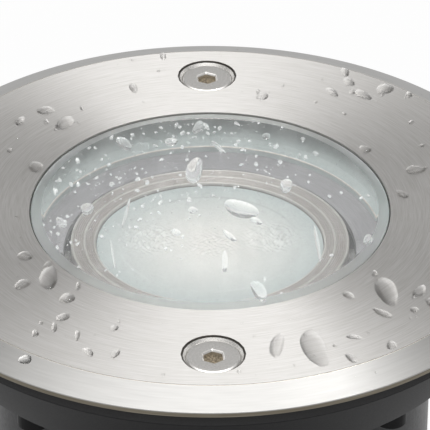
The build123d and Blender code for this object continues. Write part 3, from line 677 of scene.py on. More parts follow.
class Shell:
    """A mesh in the making: grids of points that are sewn together where they meet."""

    def __init__(self, name: str) -> None:
        """Starts an empty mesh.

        Args:
            name: Name of the piece.
        """
        self.name = name
        self.points: List[np.ndarray] = []
        self.faces: List[np.ndarray] = []
        self.slots: List[np.ndarray] = []
        self.count = 0

    def add(
        self, grid: np.ndarray, wraps: bool = True, loops: bool = False, slot: int = 0
    ) -> "Shell":
        """Adds a grid of points as quads.

        Args:
            grid: Points in rows and columns, in millimetres.
            wraps: Whether the last column meets the first.
            loops: Whether the last row meets the first.
            slot: Material slot of its faces.

        Returns:
            This shell.
        """
        rows, cols = grid.shape[:2]
        i = np.arange(rows if loops else rows - 1)[:, None]
        j = np.arange(cols if wraps else cols - 1)[None, :]
        below, beside = (i + 1) % rows * cols, (j + 1) % cols
        corners = [i * cols + j, i * cols + beside, below + beside, below + j]
        quads = np.stack(corners, axis=-1).reshape(-1, 4)
        self.faces.append(quads + self.count)
        self.slots.append(np.full(len(quads), slot, np.int32))
        self.points.append(grid.reshape(-1, 3))
        self.count += rows * cols
        return self

    def add_all(self, profiles: Sequence[Tuple[int, np.ndarray]], around: np.ndarray) -> "Shell":
        """Adds surfaces of revolution about the light's axis.

        Args:
            profiles: Pairs of material slot and profile.
            around: Angles of the columns.

        Returns:
            This shell.
        """
        for slot, profile in profiles:
            self.add(revolve(profile, around), slot=slot)
        return self

    def build(
        self,
        body: str,
        finishes: Sequence[Any],
        stands_for: Sequence[str] = (),
        record_slot: str = "",
        sharp_deg: float = 28.0,
    ) -> bpy.types.Object:
        """Sews the grids into one object and hangs it on its body.

        Args:
            body: Body that it rides on.
            finishes: Finishes in slot order.
            stands_for: Nodes that it replaces.
            record_slot: Not used.
            sharp_deg: Edges that turn more than this stay crisp.

        Returns:
            The new object.
        """
        mesh = bpy.data.meshes.new(self.name)
        points = np.concatenate(self.points) * MM
        faces = np.concatenate(self.faces)
        mesh.from_pydata(points.tolist(), [], faces.tolist())
        mesh.polygons.foreach_set("material_index", np.concatenate(self.slots))
        work = bmesh.new()
        work.from_mesh(mesh)
        bmesh.ops.remove_doubles(work, verts=work.verts, dist=WELD_M)
        bmesh.ops.dissolve_degenerate(work, edges=work.edges, dist=SLIVER_M)
        bmesh.ops.recalc_face_normals(work, faces=work.faces)
        work.to_mesh(mesh)
        work.free()
        mesh.shade_smooth()
        mesh.set_sharp_from_angle(angle=math.radians(sharp_deg))
        made = bpy.data.objects.new(self.name, mesh)
        bpy.context.scene.collection.objects.link(made)
        for finish in finishes:
            mesh.materials.append(finish.material())
        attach(made, body)
        if stands_for:
            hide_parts(*stands_for)
        LOG.info("%s: %d faces on %s", self.name, len(mesh.polygons), body)
        return made


# ---------------------------------------------------------------- cover
@dataclass
class Cover:
    """The ring, its glass, its seal and its two screws."""

    thickness: float = 3.6
    window_r: float = 40.6
    flat_margin: float = 0.4
    arris_r: float = 0.16
    window_arris_r: float = 0.12
    sink_r: float = 6.85
    clear_r: float = 3.3
    columns: int = 288
    sector_columns: int = 8
    sector_rows: int = 9
    glass_bevel: float = 2.4
    glass_bevel_drop: float = 0.35
    glass_bevel_foot: float = 0.55
    glass_t: float = 8.0
    glass_columns: int = 256
    step_r: float = 45.0
    step_depth: float = 4.4
    seal_columns: int = 192
    head_top: float = 0.6
    head_r: float = 5.9
    shank_r: float = 3.0
    screw_length: float = 16.0
    screw_columns: int = 96
    thread_r: float = 2.99
    thread_cut: float = 0.55
    thread_pitch: float = 1.0
    thread_end: float = 4.9
    thread_rows: int = 100
    socket_af: float = 4.0
    socket_turn_deg: float = 35.0
    silt_depth: float = 1.35

    def sector(
        self, middle: float, depth: float, hole_r: float, inner_r: float, outer_r: float
    ) -> Tuple[np.ndarray, np.ndarray]:
        """Flat patch between a round hole and a sector of the ring.

        It is made of straight lines from the hole's circle to the sector's outline.

        Args:
            middle: Angle of the hole, in radians.
            depth: Depth of the flat.
            hole_r: Radius of the hole.
            inner_r: Inner radius of the sector.
            outer_r: Outer radius of the sector.

        Returns:
            The patch's points, and the angles of its columns about the hole's own axis.
        """
        n = self.sector_columns
        reach = n / self.columns * TURN
        turn = np.linspace(-reach, reach, 2 * n + 1) + middle
        out = np.linspace(outer_r, inner_r, n + 1)
        sides = (
            (np.full(2 * n + 1, outer_r), turn),
            (out, np.full(n + 1, turn[-1])),
            (np.full(2 * n + 1, inner_r), turn[::-1]),
            (out[::-1], np.full(n + 1, turn[0])),
        )
        polar = np.concatenate([np.stack(side, 1)[:-1] for side in sides])
        xy = polar[:, :1] * np.stack([np.cos(polar[:, 1]), np.sin(polar[:, 1])], 1)
        centre = SCREW_CIRCLE_R * np.array([math.cos(middle), math.sin(middle)])
        about = np.arctan2(xy[:, 1] - centre[1], xy[:, 0] - centre[0])
        hole = centre + hole_r * np.stack([np.cos(about), np.sin(about)], 1)
        level = np.full((len(xy), 1), RING_TOP - depth)
        patch = ruled(np.hstack([hole, level]), np.hstack([xy, level]), self.sector_rows)
        return patch, about

    def ring(self) -> bpy.types.Object:
        """Ring: turned edge and window, flats with two countersinks let in, and their cones.

        Returns:
            The ring.
        """
        flat, bevel, arris, cut, lip, cone = range(6)
        shell = Shell("steel_cover_ring")
        around = angles(self.columns)
        flat_in, flat_out = self.window_r + self.flat_margin, BEVEL_R - self.flat_margin
        foot = self.thickness
        edge = rounded(
            [(flat_out, 0), (BEVEL_R, 0), (RING_R, BEVEL_DROP), (RING_R, foot), (flat_out, foot)],
            self.arris_r,
        )
        # Each eased corner has seven rows: the flat's arris, then the bevel with its lower arris,
        # then the cut edge.
        parts = ((flat, edge[:3]), (arris, edge[2:7]), (bevel, edge[6:14]), (cut, edge[13:]))
        # The arris rows are painted darker: a thin line of painted shade.
        shell.add_all(parts, around)
        window = [(flat_in, foot), (self.window_r, foot), (self.window_r, 0), (flat_in, 0)]
        shell.add_all([(flat, rounded(window, self.window_arris_r))], around)
        n = self.sector_columns
        mouth_r = self.sink_r + 0.12
        sink = np.array(
            [
                (mouth_r, 0), (self.sink_r + 0.03, 0.02), (self.sink_r, 0.08),
                (self.sink_r - 0.02, 0.3), (self.sink_r - 0.32, 0.32),
                (self.clear_r, self.sink_r - self.clear_r), (self.clear_r, foot),
            ]
        )
        for middle in (math.pi / 2, -math.pi / 2):
            span = np.arange(n, self.columns // 2 - n + 1) / self.columns * TURN + middle
            for depth, hole_r in ((0.0, mouth_r), (foot, self.clear_r)):
                out = np.linspace(flat_out, flat_in, n + 1)
                rows = np.stack([out, np.full(n + 1, depth)], 1)
                shell.add(revolve(rows, span), wraps=False)
                patch, about = self.sector(middle, depth, hole_r, flat_in, flat_out)
                shell.add(patch)
            centre = (SCREW_CIRCLE_R * math.cos(middle), SCREW_CIRCLE_R * math.sin(middle))
            # The lip is the painted shadow line and the cone the painted reflection.
            shell.add(revolve(sink[:5], about, centre), slot=lip)
            shell.add(revolve(sink[4:], about, centre), slot=cone)
        finishes = [BRUSHED_RING, BEVEL_SHADED_STEEL, ARRIS_SHADE_LINE, CUT_EDGE, SINK_LIP_SHADE, COUNTERSINK_REFLECTION]
        return shell.build("cover", finishes, ["cover_ring"], "ring_steel", 24.0)

    def glass(self) -> bpy.types.Object:
        """Stepped glass: a profile turned about the axis, with its ground bevel in its own slot.

        Returns:
            The glass.
        """
        # The top face's slot carries the painted reflection haze.
        wet, ground, polished = range(3)
        crest = GLASS_R - self.glass_bevel
        foot = (GLASS_R, self.glass_bevel_foot)
        top = np.array([(r, 0.0) for r in (0.0, 8.0, 18.0, 28.0, crest - 0.4, crest)])
        band = np.array([(crest, 0.0), (GLASS_R - 0.12, self.glass_bevel_drop), foot])
        step = [
            foot, (GLASS_R, self.step_depth), (self.step_r, self.step_depth),
            (self.step_r, self.glass_t), (20.0, self.glass_t),
        ]
        rest = np.concatenate([rounded(step, 0.3), [(0.0, self.glass_t)]])
        shell = Shell("window_glass")
        shell.add_all(((wet, top), (ground, band), (polished, rest)), angles(self.glass_columns))
        finishes = [GLASS_TOP_PAINTED_REFLECTION, GROUND_GLASS, POLISHED_GLASS]
        return shell.build("cover", finishes, ["glass_lens"], "lens_glass")

    def seal(self) -> bpy.types.Object:
        """Seal: an L-shaped section turned about the axis.

        Returns:
            The seal.
        """
        section = np.array(
            [
                (40.32, 0.62), (40.58, 0.62), (40.58, 3.58), (44.9, 3.62),
                (44.98, 4.0), (44.9, 4.38), (40.4, 4.38), (40.32, 4.3),
            ]
        )
        shell = Shell("glass_edge_seal")
        shell.add(revolve(section, angles(self.seal_columns)), loops=True)
        return shell.build("cover", [SILICONE], ["glass_seal"], "seal_silicone")

    def screw(self, name: str, body: str, side: float) -> bpy.types.Object:
        """Countersunk socket screw, from the tip up the thread and cone, and into the hexagon.

        The thread's radius is 2.99 - 0.55 w, where w is a triangle wave of
        (depth / pitch - angle / full turn).

        Args:
            name: Node that it stands for.
            body: Body that it rides on.
            side: 1 for the rear screw, -1 for the front one.

        Returns:
            The screw.
        """
        satin, dull, bright = range(3)
        around = angles(self.screw_columns)
        top, head = self.head_top, self.head_r
        tip, silt = top + self.screw_length, top + self.silt_depth
        turns = np.linspace(tip - 0.75, self.thread_end, self.thread_rows)
        phase = np.mod(turns[:, None] / self.thread_pitch - around[None, :] / TURN, 1.0)
        wave = np.abs(2.0 * phase - 1.0)
        fade = np.clip((turns - self.thread_end) / 1.2, 0.0, 1.0)[:, None]
        thread = self.thread_r - self.thread_cut * wave * fade
        neck = top + 0.25 + (head - self.shank_r)
        point = np.array([(0.0, tip), (2.0, tip), (2.42, tip - 0.2)])
        cap = np.array(
            [
                (self.shank_r, neck + 0.3), (3.02, neck + 0.02), (3.1, neck - 0.1),
                (head - 0.12, top + 0.37), (head, top + 0.25), (head - 0.02, top + 0.2),
                (head - 0.3, top + 0.02), (head - 0.38, top), (4.6, top), (3.2, top), (3.0, top),
            ]
        )
        # The socket's rows, whose radii are in parts of the hexagon's.
        well = np.array(
            [
                (1.2, top + 0.01), (1.17, top + 0.05), (1.01, top + 0.42), (1.0, top + 0.5),
                (1.0, silt), (0.8, silt + 0.06), (0.0, silt + 0.15),
            ]
        )
        circle = np.ones((1, self.screw_columns))
        hexa = hexagon(around, self.socket_af, math.radians(self.socket_turn_deg))[None, :]
        radii = [point[:, :1] * circle, thread, cap[:, :1] * circle, well[:, :1] * hexa]
        depths = np.concatenate([point[:, 1], turns, cap[:, 1], well[:, 1]])
        grid = stacked(np.concatenate(radii), depths, around, (0.0, side * SCREW_CIRCLE_R))
        # Rows of the head's widest circle, the socket's mouth and the edge of its floor.
        brim, mouth, floor = len(point) + len(thread) + 4, len(grid) - 7, len(grid) - 3
        shell = Shell("socket_screw_" + ("rear" if side > 0 else "front"))
        # The head's widest rows get the painted highlight of its rim.
        shell.add(grid[: brim + 1], slot=satin).add(grid[brim : brim + 4], slot=bright)
        # The socket's chamfer and walls get the rim's painted highlight, and its floor is dull.
        shell.add(grid[brim + 3 : mouth + 1], slot=satin)
        shell.add(grid[mouth : floor + 1], slot=bright).add(grid[floor:], slot=dull)
        finishes = [SCREW_STEEL, SOCKET_FLOOR, SCREW_RIM_HIGHLIGHT]
        return shell.build(body, finishes, [name], "screw_steel", 26.0)

    def build(self) -> None:
        """Makes the cover's pieces."""
        self.ring()
        self.glass()
        self.seal()
        self.screw("cover_screw_rear", "rear_screw", 1.0)
        self.screw("cover_screw_front", "front_screw", -1.0)


# ---------------------------------------------------------------- lamp group
@dataclass
class LampGroup:
    """The trim cone, and the lamp in its ridged bezel."""

    trim_r: float = 38.8
    trim_foot: float = 14.46
    bead_r: float = 0.2
    bead_depth: float = 13.15
    bezel_r: float = 31.5
    bezel_depth: float = 13.4
    bezel_foot: float = 16.4
    pocket_r: float = 25.9
    line_r: float = 28.35
    lip_r: float = 25.8
    ridge_mm: float = 0.45
    ridge_depth: float = 0.15
    columns: int = 224
    lens_r: float = 25.7
    lens_depth: float = 14.5
    lens_t: float = 1.6
    lens_rows: int = 140
    lens_columns: int = 320
    lens_step_r: float = 20.5
    lens_patches: Tuple[Tuple[float, float, float], ...] = (
        (-14.0, 2.0, 0.4), (14.0, 2.5, 0.4), (1.0, -1.0, 0.15),
    )

    def trim(self) -> bpy.types.Object:
        """Trim cone with a rolled bead at its inner edge: a closed section turned about the axis.

        The bead's section is an arc.

        Returns:
            The trim.
        """
        # The bead's slot is painted pale: the painted highlight along the trim's inner edge.
        enamel, bead_highlight, inner = range(3)
        arc, r = np.linspace(-0.4, 2.2, 7), self.bead_r
        wall_r = self.trim_r + 0.02
        bead = np.stack([self.trim_r + r - r * np.cos(arc), self.bead_depth - r * np.sin(arc)], 1)
        cone = np.array(
            [
                bead[-1], (39.6, 12.78), (42.0, 11.35), (45.4, 9.3), (45.95, 8.95), (45.98, 9.3),
                (45.9, 10.1), (40.2, 14.3), (39.9, self.trim_foot), (wall_r, self.trim_foot),
            ]
        )
        wall = np.array([cone[-1], (wall_r, 13.8), bead[0]])
        shell = Shell("trim_cone")
        shell.add_all(((enamel, cone), (bead_highlight, bead), (inner, wall)), angles(self.columns))
        finishes = [TRIM_ENAMEL, TRIM_BEAD_HIGHLIGHT, TRIM_ENAMEL]
        return shell.build("housing", finishes, ["trim_ring"], "trim_paint", 40.0)

    def ridged(
        self, outer_r: float, inner_r: float, outer_d: float, inner_d: float
    ) -> np.ndarray:
        """Ridged slope: a straight fall, plus the ridge's depth times (1 - |sin(pi r / pitch)|).

        Args:
            outer_r: Radius where it starts.
            inner_r: Radius where it ends.
            outer_d: Depth where it starts.
            inner_d: Depth where it ends.

        Returns:
            Profile rows.
        """
        r = np.linspace(outer_r, inner_r, int((outer_r - inner_r) / self.ridge_mm * 10))
        fall = (outer_r - r) / (outer_r - inner_r) * (inner_d - outer_d)
        ridges = self.ridge_depth * (1.0 - np.abs(np.sin(math.pi * r / self.ridge_mm)))
        return np.stack([r, outer_d + fall + ridges], 1)

    def bezel(self) -> bpy.types.Object:
        """Bezel: two ridged bands between three crests with painted highlights, turned about the
        lamp's axis.

        Returns:
            The bezel.
        """
        grey_band, crest = range(2)
        top, line, rim_r, lip_r = self.bezel_depth, self.line_r, self.bezel_r, self.lip_r
        rim = np.array(
            [
                (rim_r, top + 0.3), (rim_r - 0.06, top + 0.1), (rim_r - 0.22, top),
                (rim_r - 0.42, top + 0.02), (rim_r - 0.55, top + 0.16),
            ]
        )
        outer = self.ridged(rim_r - 0.55, line + 0.3, top + 0.16, top + 0.2)
        bead = np.array(
            [
                outer[-1], (line + 0.14, top + 0.04), (line, top), (line - 0.14, top + 0.05),
                (line - 0.26, top + 0.22),
            ]
        )
        inner = self.ridged(line - 0.26, lip_r + 0.45, top + 0.22, top + 0.42)
        lip = np.array(
            [
                inner[-1], (lip_r + 0.3, top + 0.36), (lip_r + 0.14, top + 0.42),
                (lip_r, top + 0.6), (lip_r, top + 1.0),
            ]
        )
        back = np.array(
            [
                lip[-1], (self.pocket_r, top + 1.05), (self.pocket_r, self.bezel_foot),
                (rim_r, self.bezel_foot), rim[0],
            ]
        )
        around = angles(self.columns)
        shell = Shell("ridged_lamp_bezel")
        crests_and_bands = (
            (crest, rim), (grey_band, outer), (crest, bead), (grey_band, inner), (crest, lip),
            (grey_band, back),
        )
        for slot, rows in crests_and_bands:
            shell.add(tipped(revolve(rows, around)), slot=slot)
        finishes = [BEZEL_ALLOY, BEZEL_CREST_HIGHLIGHT]
        return shell.build("cradle", finishes, ["lamp_bezel"], "bezel_alloy", 50.0)

    def lens(self) -> bpy.types.Object:
        """Frosted lens: a disc whose face carries the moulded relief of the optic.

        Patches of facets lie left, right and, fainter, in the middle. Each is its height times
        w sin(3.4 u + 1.8 sin(1.3 v)) sin(3 v + 1.9 sin(1.2 u + 1)), where u and v are the place
        measured from the patch's middle, and w = exp(-(distance - 2.6)^2 / 8). A low step of
        0.12 mm, which is 0.06 tanh((radius - step) / 0.25), runs round them.

        Returns:
            The lens.
        """
        around, face = angles(self.lens_columns), self.lens_rows
        edge, thick = self.lens_r, self.lens_t
        edge_r = np.array([edge - 0.05, edge, edge, edge - 0.2, 12.0, 0.0])
        edge_d = self.lens_depth + np.array([0.05, 0.2, thick - 0.2, thick, thick, thick])
        r = np.concatenate([np.linspace(0.0, edge - 0.3, face), edge_r])
        d = np.concatenate([np.full(face, self.lens_depth), edge_d])
        radii = np.broadcast_to(r[:, None], (len(r), self.lens_columns))
        x, y = radii * np.cos(around), radii * np.sin(around)
        relief = 0.06 * np.tanh((radii - self.lens_step_r) / 0.25)
        for cx, cy, tall in self.lens_patches:
            u, v = x - cx, y - cy
            facets = np.sin(3.4 * u + 1.8 * np.sin(1.3 * v))
            facets = facets * np.sin(3.0 * v + 1.9 * np.sin(1.2 * u + 1.0))
            relief = relief + tall * np.exp(-((np.hypot(u, v) - 2.6) ** 2) / 8.0) * facets
        relief = relief * np.clip((24.5 - radii) / 2.0, 0.0, 1.0)
        depths = d[:, None] + np.where(np.arange(len(r))[:, None] < face, relief, 0.0)
        shell = Shell("frosted_lamp_lens").add(tipped(stacked(radii, depths, around)))
        return shell.build("lamp", [LENS_FROST], ["lamp_lens"], "lamp_lens_frosted", 60.0)

    def build(self) -> None:
        """Makes the lamp group's pieces."""
        self.trim()
        self.bezel()
        self.lens()


# ---------------------------------------------------------------- rain
@dataclass
class Rain:
    """Drops of rain that stand on the ring and the glass. They rest on the cover and lift with it.

    Each row is a drop's x, y, half width, half length, height and lean in degrees.
    """

    seed: int = 11
    specks_on_glass: int = 1000
    specks_on_steel: int = 230
    clear_of_screw_r: float = 8.2
    clear_of_arris: float = 1.0
    on_steel: Tuple[Tuple[float, ...], ...] = (
        (-43.8, 37.1, 1, 2, 0.55, 20), (-37.8, 41.7, 2, 1.9, 0.6, 0),
        (-33.3, 36.1, 1.9, 3.3, 0.7, 30), (-39.6, 17.3, 1.6, 2.4, 0.6, 5),
        (-41, -19.2, 1.8, 1.6, 0.55, 30), (-35.6, -27.9, 2, 4.7, 0.8, 5),
        (-41.3, -30.3, 1.5, 2.1, 0.6, 30), (-31.4, -35.8, 1.6, 2, 0.6, 40),
        (-32.2, -43, 1.2, 1.8, 0.5, 30), (-39.9, -57.7, 1.4, 1.2, 0.4, 30),
        (-21.2, -47.2, 0.9, 1.3, 0.35, 20), (-20.9, -56.8, 1, 1.5, 0.4, 20),
        (36, 24, 1.2, 1.8, 0.5, -20), (47, 15.1, 2.2, 1.8, 0.6, -20),
        (43.5, 4.9, 1.1, 1.8, 0.5, -30), (35.7, -27, 0.7, 1.2, 0.3, 0),
        (38, -33.8, 2.5, 5.2, 0.8, -8), (36.7, -42.2, 1, 2.6, 0.5, -50),
        (29.7, -35.3, 1.1, 1.6, 0.5, -30), (45.1, -33.9, 1.2, 2.6, 0.6, 30),
        (47.4, -38.2, 1.2, 1.7, 0.5, -20), (43.6, -41, 0.9, 1.1, 0.4, 0),
        (49.6, -33, 1.1, 2.4, 0.5, 20), (21.6, -55.1, 2.6, 7.2, 0.6, -14),
        (13.6, -54.1, 1.4, 4.8, 0.45, 10), (30.1, -51.1, 1.6, 0.9, 0.35, 15),
        (29.3, -58.8, 1.1, 1.9, 0.4, -30), (38, -54.2, 1.1, 1.7, 0.4, 0),
        (-17.4, 51.6, 1, 2.2, 0.4, -10), (-10.4, 66.2, 0.7, 1.8, 0.35, 0),
        (12.8, 47.6, 1.4, 2, 0.4, 0), (36.6, 48, 1.4, 2.6, 0.5, -40),
        (32.8, 58.4, 1, 2.2, 0.4, -10), (34.1, 49.2, 0.7, 1.2, 0.3, 0),
        (41.9, 50.5, 1.9, 2.6, 0.55, 30), (29.4, 49.3, 1, 2.4, 0.4, -30),
        (33.6, 54, 1.1, 2.2, 0.4, -20), (47.5, 48, 0.8, 1.4, 0.35, 0),
        (-37.6, 36.6, 0.6, 1.1, 0.35, 0), (-29.1, -31.1, 0.6, 1.5, 0.4, 0),
        (-35.9, -22.8, 0.9, 1.2, 0.4, 20), (-38, -49, 0.8, 1.2, 0.3, 0),
        (-34, -46.8, 0.6, 1.9, 0.35, 0), (-29, -49.8, 0.6, 2.1, 0.35, 0),
        (-26.6, -56, 0.9, 1.9, 0.35, -30),
    )
    on_glass: Tuple[Tuple[float, ...], ...] = (
        (-2.3, 33.9, 1.2, 2.9, 0.28, 10), (-8.6, 27.7, 1.6, 1.7, 0.28, 0),
        (-19.5, 27, 1.5, 3.1, 0.28, -25), (2.2, 25.3, 0.7, 2.9, 0.24, -30),
        (13.4, 29.8, 1, 1.4, 0.24, 0), (-3.4, 15.2, 1.8, 5.8, 0.39, 4),
        (17.4, 8.6, 1.4, 3, 0.32, 10), (7, -0.9, 3, 4.6, 0.42, -35),
        (-27.6, -0.5, 1.4, 2.6, 0.28, 0), (-33.3, -6, 1, 2.4, 0.28, -20),
        (34.9, -13.6, 1.1, 2, 0.28, 10), (10.2, -33.4, 1.5, 4.2, 0.35, -15),
        (3, -22, 0.7, 4.2, 0.24, 0), (-3.9, -1.3, 1, 1.6, 0.28, 0),
        (-7.5, -10.4, 0.8, 1.4, 0.24, 0), (-18.8, -2, 0.35, 6.5, 0.1, 8),
        (-21.6, -19, 0.3, 5.5, 0.1, -6), (23.6, -15, 0.45, 7, 0.12, -3),
        (10.2, -5.8, 1.1, 1.8, 0.24, -40), (4.2, -11.8, 0.9, 2.6, 0.24, -30),
    )

    def ground(self, x: np.ndarray, y: np.ndarray) -> np.ndarray:
        """Depth of what a drop stands on: 0 on the flats, and in proportion down the bevel."""
        run = (np.hypot(x, y) - BEVEL_R) / (RING_R - BEVEL_R)
        return np.clip(run, 0.0, 1.0) * BEVEL_DROP

    def specks(self) -> np.ndarray:
        """Seeded scatter of small drops, most of them on the glass.

        Returns:
            Rows like those of the listed drops, clear of the window's rim, the arris and the
            screws.
        """
        rng = np.random.default_rng(self.seed)
        glass_r = 38.0 * np.sqrt(rng.random(self.specks_on_glass))
        r = np.concatenate([glass_r, 43.0 + 29.0 * rng.random(self.specks_on_steel)])
        a = rng.random(len(r)) * TURN
        x, y = r * np.cos(a), r * np.sin(a)
        wide = 0.12 + 0.45 * rng.random(len(r)) ** 4
        long = wide * (1.2 + 1.0 * rng.random(len(r)))
        lean = 50 * rng.random(len(r)) - 25
        rows = np.stack([x, y, wide, long, wide * 0.42, lean], 1)
        # The glass has most of its specks on the left and towards the back.
        kept = np.clip(0.45 - 0.012 * x + 0.016 * y, 0.08, 1.0)
        thin = (r < GLASS_R) & (rng.random(len(r)) > kept)
        near_screw = np.hypot(x, np.abs(y) - SCREW_CIRCLE_R) < self.clear_of_screw_r
        near_arris = np.abs(r - BEVEL_R) < self.clear_of_arris
        return rows[~thin & ~near_screw & ~near_arris]

    def domes(self, rows: np.ndarray, steps: int, columns: int) -> np.ndarray:
        """Domes on leaning, slightly lobed outlines.

        The height is (1 - s^2.6) over the outline scaled by s, and the dome is closed below.

        Args:
            rows: Drops.
            steps: Rings in each dome.
            columns: Points in each ring.

        Returns:
            Points in an array of drops, rings, columns and 3.
        """
        rng = np.random.default_rng(self.seed + 1)
        s = np.sin(np.linspace(0.0, math.pi / 2.0, steps))
        s = np.concatenate([s, [0.97, 0.0]])[None, :, None]
        rise = 1.0 - s**2.6
        rise[:, -2:] = 0.0
        sunk = np.zeros_like(s)
        sunk[:, -2:] = 0.05
        a = angles(columns)[None, None, :]
        p, q = rng.random((2, len(rows), 1, 1)) * TURN
        out = s * (1.0 + 0.06 * np.cos(2.0 * a + p) + 0.05 * np.cos(3.0 * a + q))
        x0, y0, wide, long, tall, lean = (rows[:, k, None, None] for k in range(6))
        u, v = out * wide * np.cos(a), out * long * np.sin(a)
        t = np.radians(lean)
        x, y = x0 + u * np.cos(t) + v * np.sin(t), y0 + v * np.cos(t) - u * np.sin(t)
        z = RING_TOP - self.ground(x, y) + tall * rise - sunk
        return np.stack([x, y, z], axis=-1)

    def build(self) -> None:
        """Makes one mesh of all the drops."""
        on_steel, on_glass, mist = range(3)
        shell = Shell("rain_drops")
        listed = np.array(self.on_steel + self.on_glass, float)
        for rows, steps, columns, over_glass in (
            (listed, 9, 28, on_glass), (self.specks(), 4, 10, mist),
        ):
            for grid in self.domes(rows, steps, columns):
                inside = np.hypot(*grid[0, 0, :2]) < GLASS_R
                shell.add(grid, slot=over_glass if inside else on_steel)
        shell.build("cover", [WATER, WATER_ON_GLASS, WATER_MIST], (), "lens_glass", 50.0)


# ---------------------------------------------------------------- carried-over nodes
@dataclass
class Fittings:
    """The nodes whose solids are right as they are, and the finish that each gets."""

    dressing: Dict[str, Finish] = field(
        default_factory=lambda: {
            "mounting_collar": COLLAR_PLASTIC, "pot": POT_COAT, "main_gasket": RUBBER,
            "captive_washers": NYLON_NATURAL, "threaded_inserts": BRASS,
            "pot_screws": ZINC_STEEL, "lamp_shelf": SHELF_ENAMEL, "shelf_screws": ZINC_STEEL,
            "lamp_cradle": CRADLE_ALLOY, "tilt_screws": BLACK_OXIDE,
            "holder_stirrup": ZINC_STEEL, "stirrup_rivets": ZINC_STEEL, "lamp_holder": STEATITE,
            "holder_contacts": BRASS, "holder_screws": ZINC_STEEL, "lamp_shell": LAMP_WHITE,
            "lamp_base": LAMP_WHITE, "lamp_pins": NICKEL, "terminal_block": NYLON_NATURAL,
            "terminal_screws": BRASS, "block_fixing_screws": ZINC_STEEL, "earth_screw": BRASS,
            "earth_washer": BRASS, "gland_body": GLAND_NYLON, "gland_washer": RUBBER,
            "gland_seal": RUBBER, "gland_nut": GLAND_NYLON, "gland_locknut": GLAND_NYLON,
        }
    )

    def dress(self, nodes: Dict[str, bpy.types.Object]) -> None:
        """Puts each finish on its node.

        Args:
            nodes: Node name to object.
        """
        for name, finish in self.dressing.items():
            slots = nodes[name].data.materials
            slots.clear()
            slots.append(finish.material())
            LOG.info("%s: %s", name, finish.name)


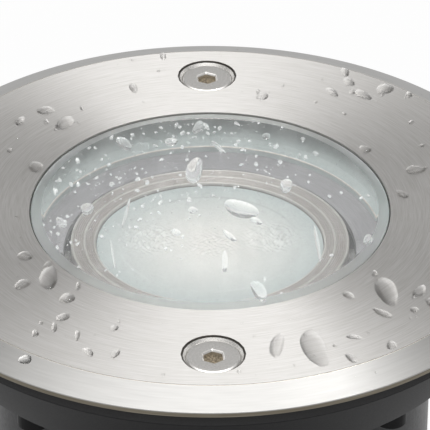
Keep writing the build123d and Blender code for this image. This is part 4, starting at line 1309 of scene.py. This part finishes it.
# ---------------------------------------------------------------- studio
@dataclass
class Studio:
    """Camera, floor, sky and lamps.

    The sky's stops are brightness against the height of the direction, from level to straight
    up. Each lamp is a name, a place and two sides in metres, its watts, and whether metal
    reflects it.
    """

    elevation_deg: float = 33.13608
    azimuth_deg: float = 0.76512
    roll_deg: float = 0.0898
    yaw_deg: float = 0.07599
    pitch_deg: float = -0.12182
    distance: float = 849.65
    focal_px: float = 3780.555
    frame_px: float = 430.0
    sensor_mm: float = 36.0
    floor_half_m: float = 8.0
    floor_drop_m: float = 0.0003
    floor_white: float = 0.93
    soft_grey: float = 0.7
    sky_stops: Tuple[Tuple[float, float], ...] = (
        (0.0, 0.9), (0.3, 1.2), (0.55, 0.3), (0.78, 0.8), (0.9, 2.1), (1.0, 3.9),
    )
    lamps: Tuple[Tuple[Any, ...], ...] = (
        ("overhead_softbox", (-0.35, -0.2, 1.5), (1.2, 1.2), 7.2, False),
        ("right_softbox", (0.4, -0.2, 1.5), (0.5, 1.5), 1.0, True),
        ("small_spot", (0.33, 0.5, 1.42), (0.07, 0.07), 0.7, True),
    )

    def camera(self) -> None:
        """Camera at the photograph's place.

        A unit frame looks at the ring's middle, then turns by yaw, pitch and roll.
        """
        e, a = math.radians(self.elevation_deg), math.radians(self.azimuth_deg)
        place = self.distance * np.array([0.0, -math.cos(e), math.sin(e)])
        ahead = -place / np.linalg.norm(place)
        right = np.array([1.0, 0.0, 0.0])
        up = np.cross(right, ahead)
        ahead, right = swung(ahead, right, self.yaw_deg)
        ahead, up = swung(ahead, up, self.pitch_deg)
        right, up = swung(right, up, self.roll_deg)
        spin = np.array(
            [[math.cos(a), math.sin(a), 0.0], [-math.sin(a), math.cos(a), 0.0], [0.0, 0.0, 1.0]]
        )
        matrix = np.eye(4)
        matrix[:3, :3] = spin @ np.stack([right, up, -ahead], axis=1)
        matrix[:3, 3] = (spin @ place + np.array([0.0, 0.0, RING_TOP])) * MM
        data = bpy.data.cameras.new("photo_camera")
        data.sensor_width = self.sensor_mm
        data.lens = self.focal_px / self.frame_px * self.sensor_mm
        data.clip_start, data.clip_end = 0.05, 50.0
        made = bpy.data.objects.new("photo_camera", data)
        made.matrix_world = Matrix(matrix.tolist())
        bpy.context.scene.collection.objects.link(made)
        bpy.context.scene.camera = made

    def shiny(self, tree: Tree, rays: Any) -> Any:
        """1 for rays that come by metal, glass or water, and 0 for the others."""
        kinds = {0: rays.outputs["Is Glossy Ray"], 1: rays.outputs["Is Transmission Ray"]}
        return add_node(tree, MATH, kinds, operation="MAXIMUM").outputs[0]

    def floor(self) -> None:
        """Pale floor under the pot, which shows as white to the camera and keeps a soft shadow."""
        mesh = bpy.data.meshes.new("studio_floor")
        s, z = self.floor_half_m, -self.floor_drop_m
        mesh.from_pydata([(-s, -s, z), (s, -s, z), (s, s, z), (-s, s, z)], [], [(0, 1, 2, 3)])
        made = bpy.data.objects.new("studio_floor", mesh)
        bpy.context.scene.collection.objects.link(made)
        matt = {"Base Color": linear("e8e8e7"), "Roughness": 0.8}
        paint, shader = start_material("studio_floor_matt", matt)
        tree = paint.node_tree
        rays = add_node(tree, "ShaderNodeLightPath")
        seen = {0: rays.outputs["Is Camera Ray"], 1: self.shiny(tree, rays)}
        shows = add_node(tree, MATH, seen, operation="MAXIMUM").outputs[0]
        share = {0: shows, 1: self.floor_white}
        part = add_node(tree, MATH, share, operation="MULTIPLY").outputs[0]
        white = add_node(tree, "ShaderNodeEmission", {"Color": grey(1.0), "Strength": 1.0})
        either = {"Fac": part, 1: shader.outputs["BSDF"], 2: white.outputs[0]}
        mix = add_node(tree, "ShaderNodeMixShader", either)
        tree.links.new(mix.outputs["Shader"], tree.nodes["Material Output"].inputs["Surface"])
        mesh.materials.append(paint)

    def sky(self) -> None:
        """Even light tent, white to the camera.

        What metal reflects is a pale band low down, a grey one over it and a bright top.
        """
        world = bpy.data.worlds.new("light_tent")
        bpy.context.scene.world = world
        world.use_nodes = True
        tree = world.node_tree
        tree.nodes.clear()
        place = add_node(tree, "ShaderNodeTexCoord")
        parts = add_node(tree, "ShaderNodeSeparateXYZ", {"Vector": place.outputs["Generated"]})
        stops = [(height, grey(value)) for height, value in self.sky_stops]
        tone = add_node(tree, "ShaderNodeValToRGB", {"Fac": parts.outputs["Z"]}, stops)
        soft, tent, white = (
            add_node(tree, "ShaderNodeBackground", {"Color": colour, "Strength": 1.0}).outputs[0]
            for colour in (grey(self.soft_grey), tone.outputs["Color"], grey(1.0))
        )
        rays = add_node(tree, "ShaderNodeLightPath")
        lit = {"Fac": self.shiny(tree, rays), 1: soft, 2: tent}
        first = add_node(tree, "ShaderNodeMixShader", lit).outputs[0]
        shown = {"Fac": rays.outputs["Is Camera Ray"], 1: first, 2: white}
        last = add_node(tree, "ShaderNodeMixShader", shown).outputs[0]
        add_node(tree, "ShaderNodeOutputWorld", {"Surface": last})

    def lamp(
        self,
        name: str,
        place: Tuple[float, float, float],
        size: Tuple[float, float],
        watts: float,
        shows: bool,
    ) -> None:
        """Adds a rectangular area lamp that faces straight down and isn't seen by the camera.

        Args:
            name: Name of the lamp.
            place: Place in metres.
            size: Sides along X and Y in metres.
            watts: Power.
            shows: Whether metal reflects it.
        """
        data = bpy.data.lights.new(name, "AREA")
        data.shape = "RECTANGLE"
        data.size, data.size_y = size
        data.energy = watts
        made = bpy.data.objects.new(name, data)
        made.location = place
        made.visible_camera = False
        made.visible_glossy = shows
        bpy.context.scene.collection.objects.link(made)

    def build(self) -> None:
        """Makes the studio."""
        bpy.context.scene.view_settings.view_transform = "Standard"
        self.camera()
        self.floor()
        self.sky()
        for row in self.lamps:
            self.lamp(*row)


def main() -> None:
    """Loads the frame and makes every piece."""
    logging.basicConfig(level=logging.INFO, format="%(name)s %(message)s")
    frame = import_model()
    Studio().build()
    Cover().build()
    LampGroup().build()
    Rain().build()
    Fittings().dress(frame["nodes"])


if __name__ == "__main__":
    main()
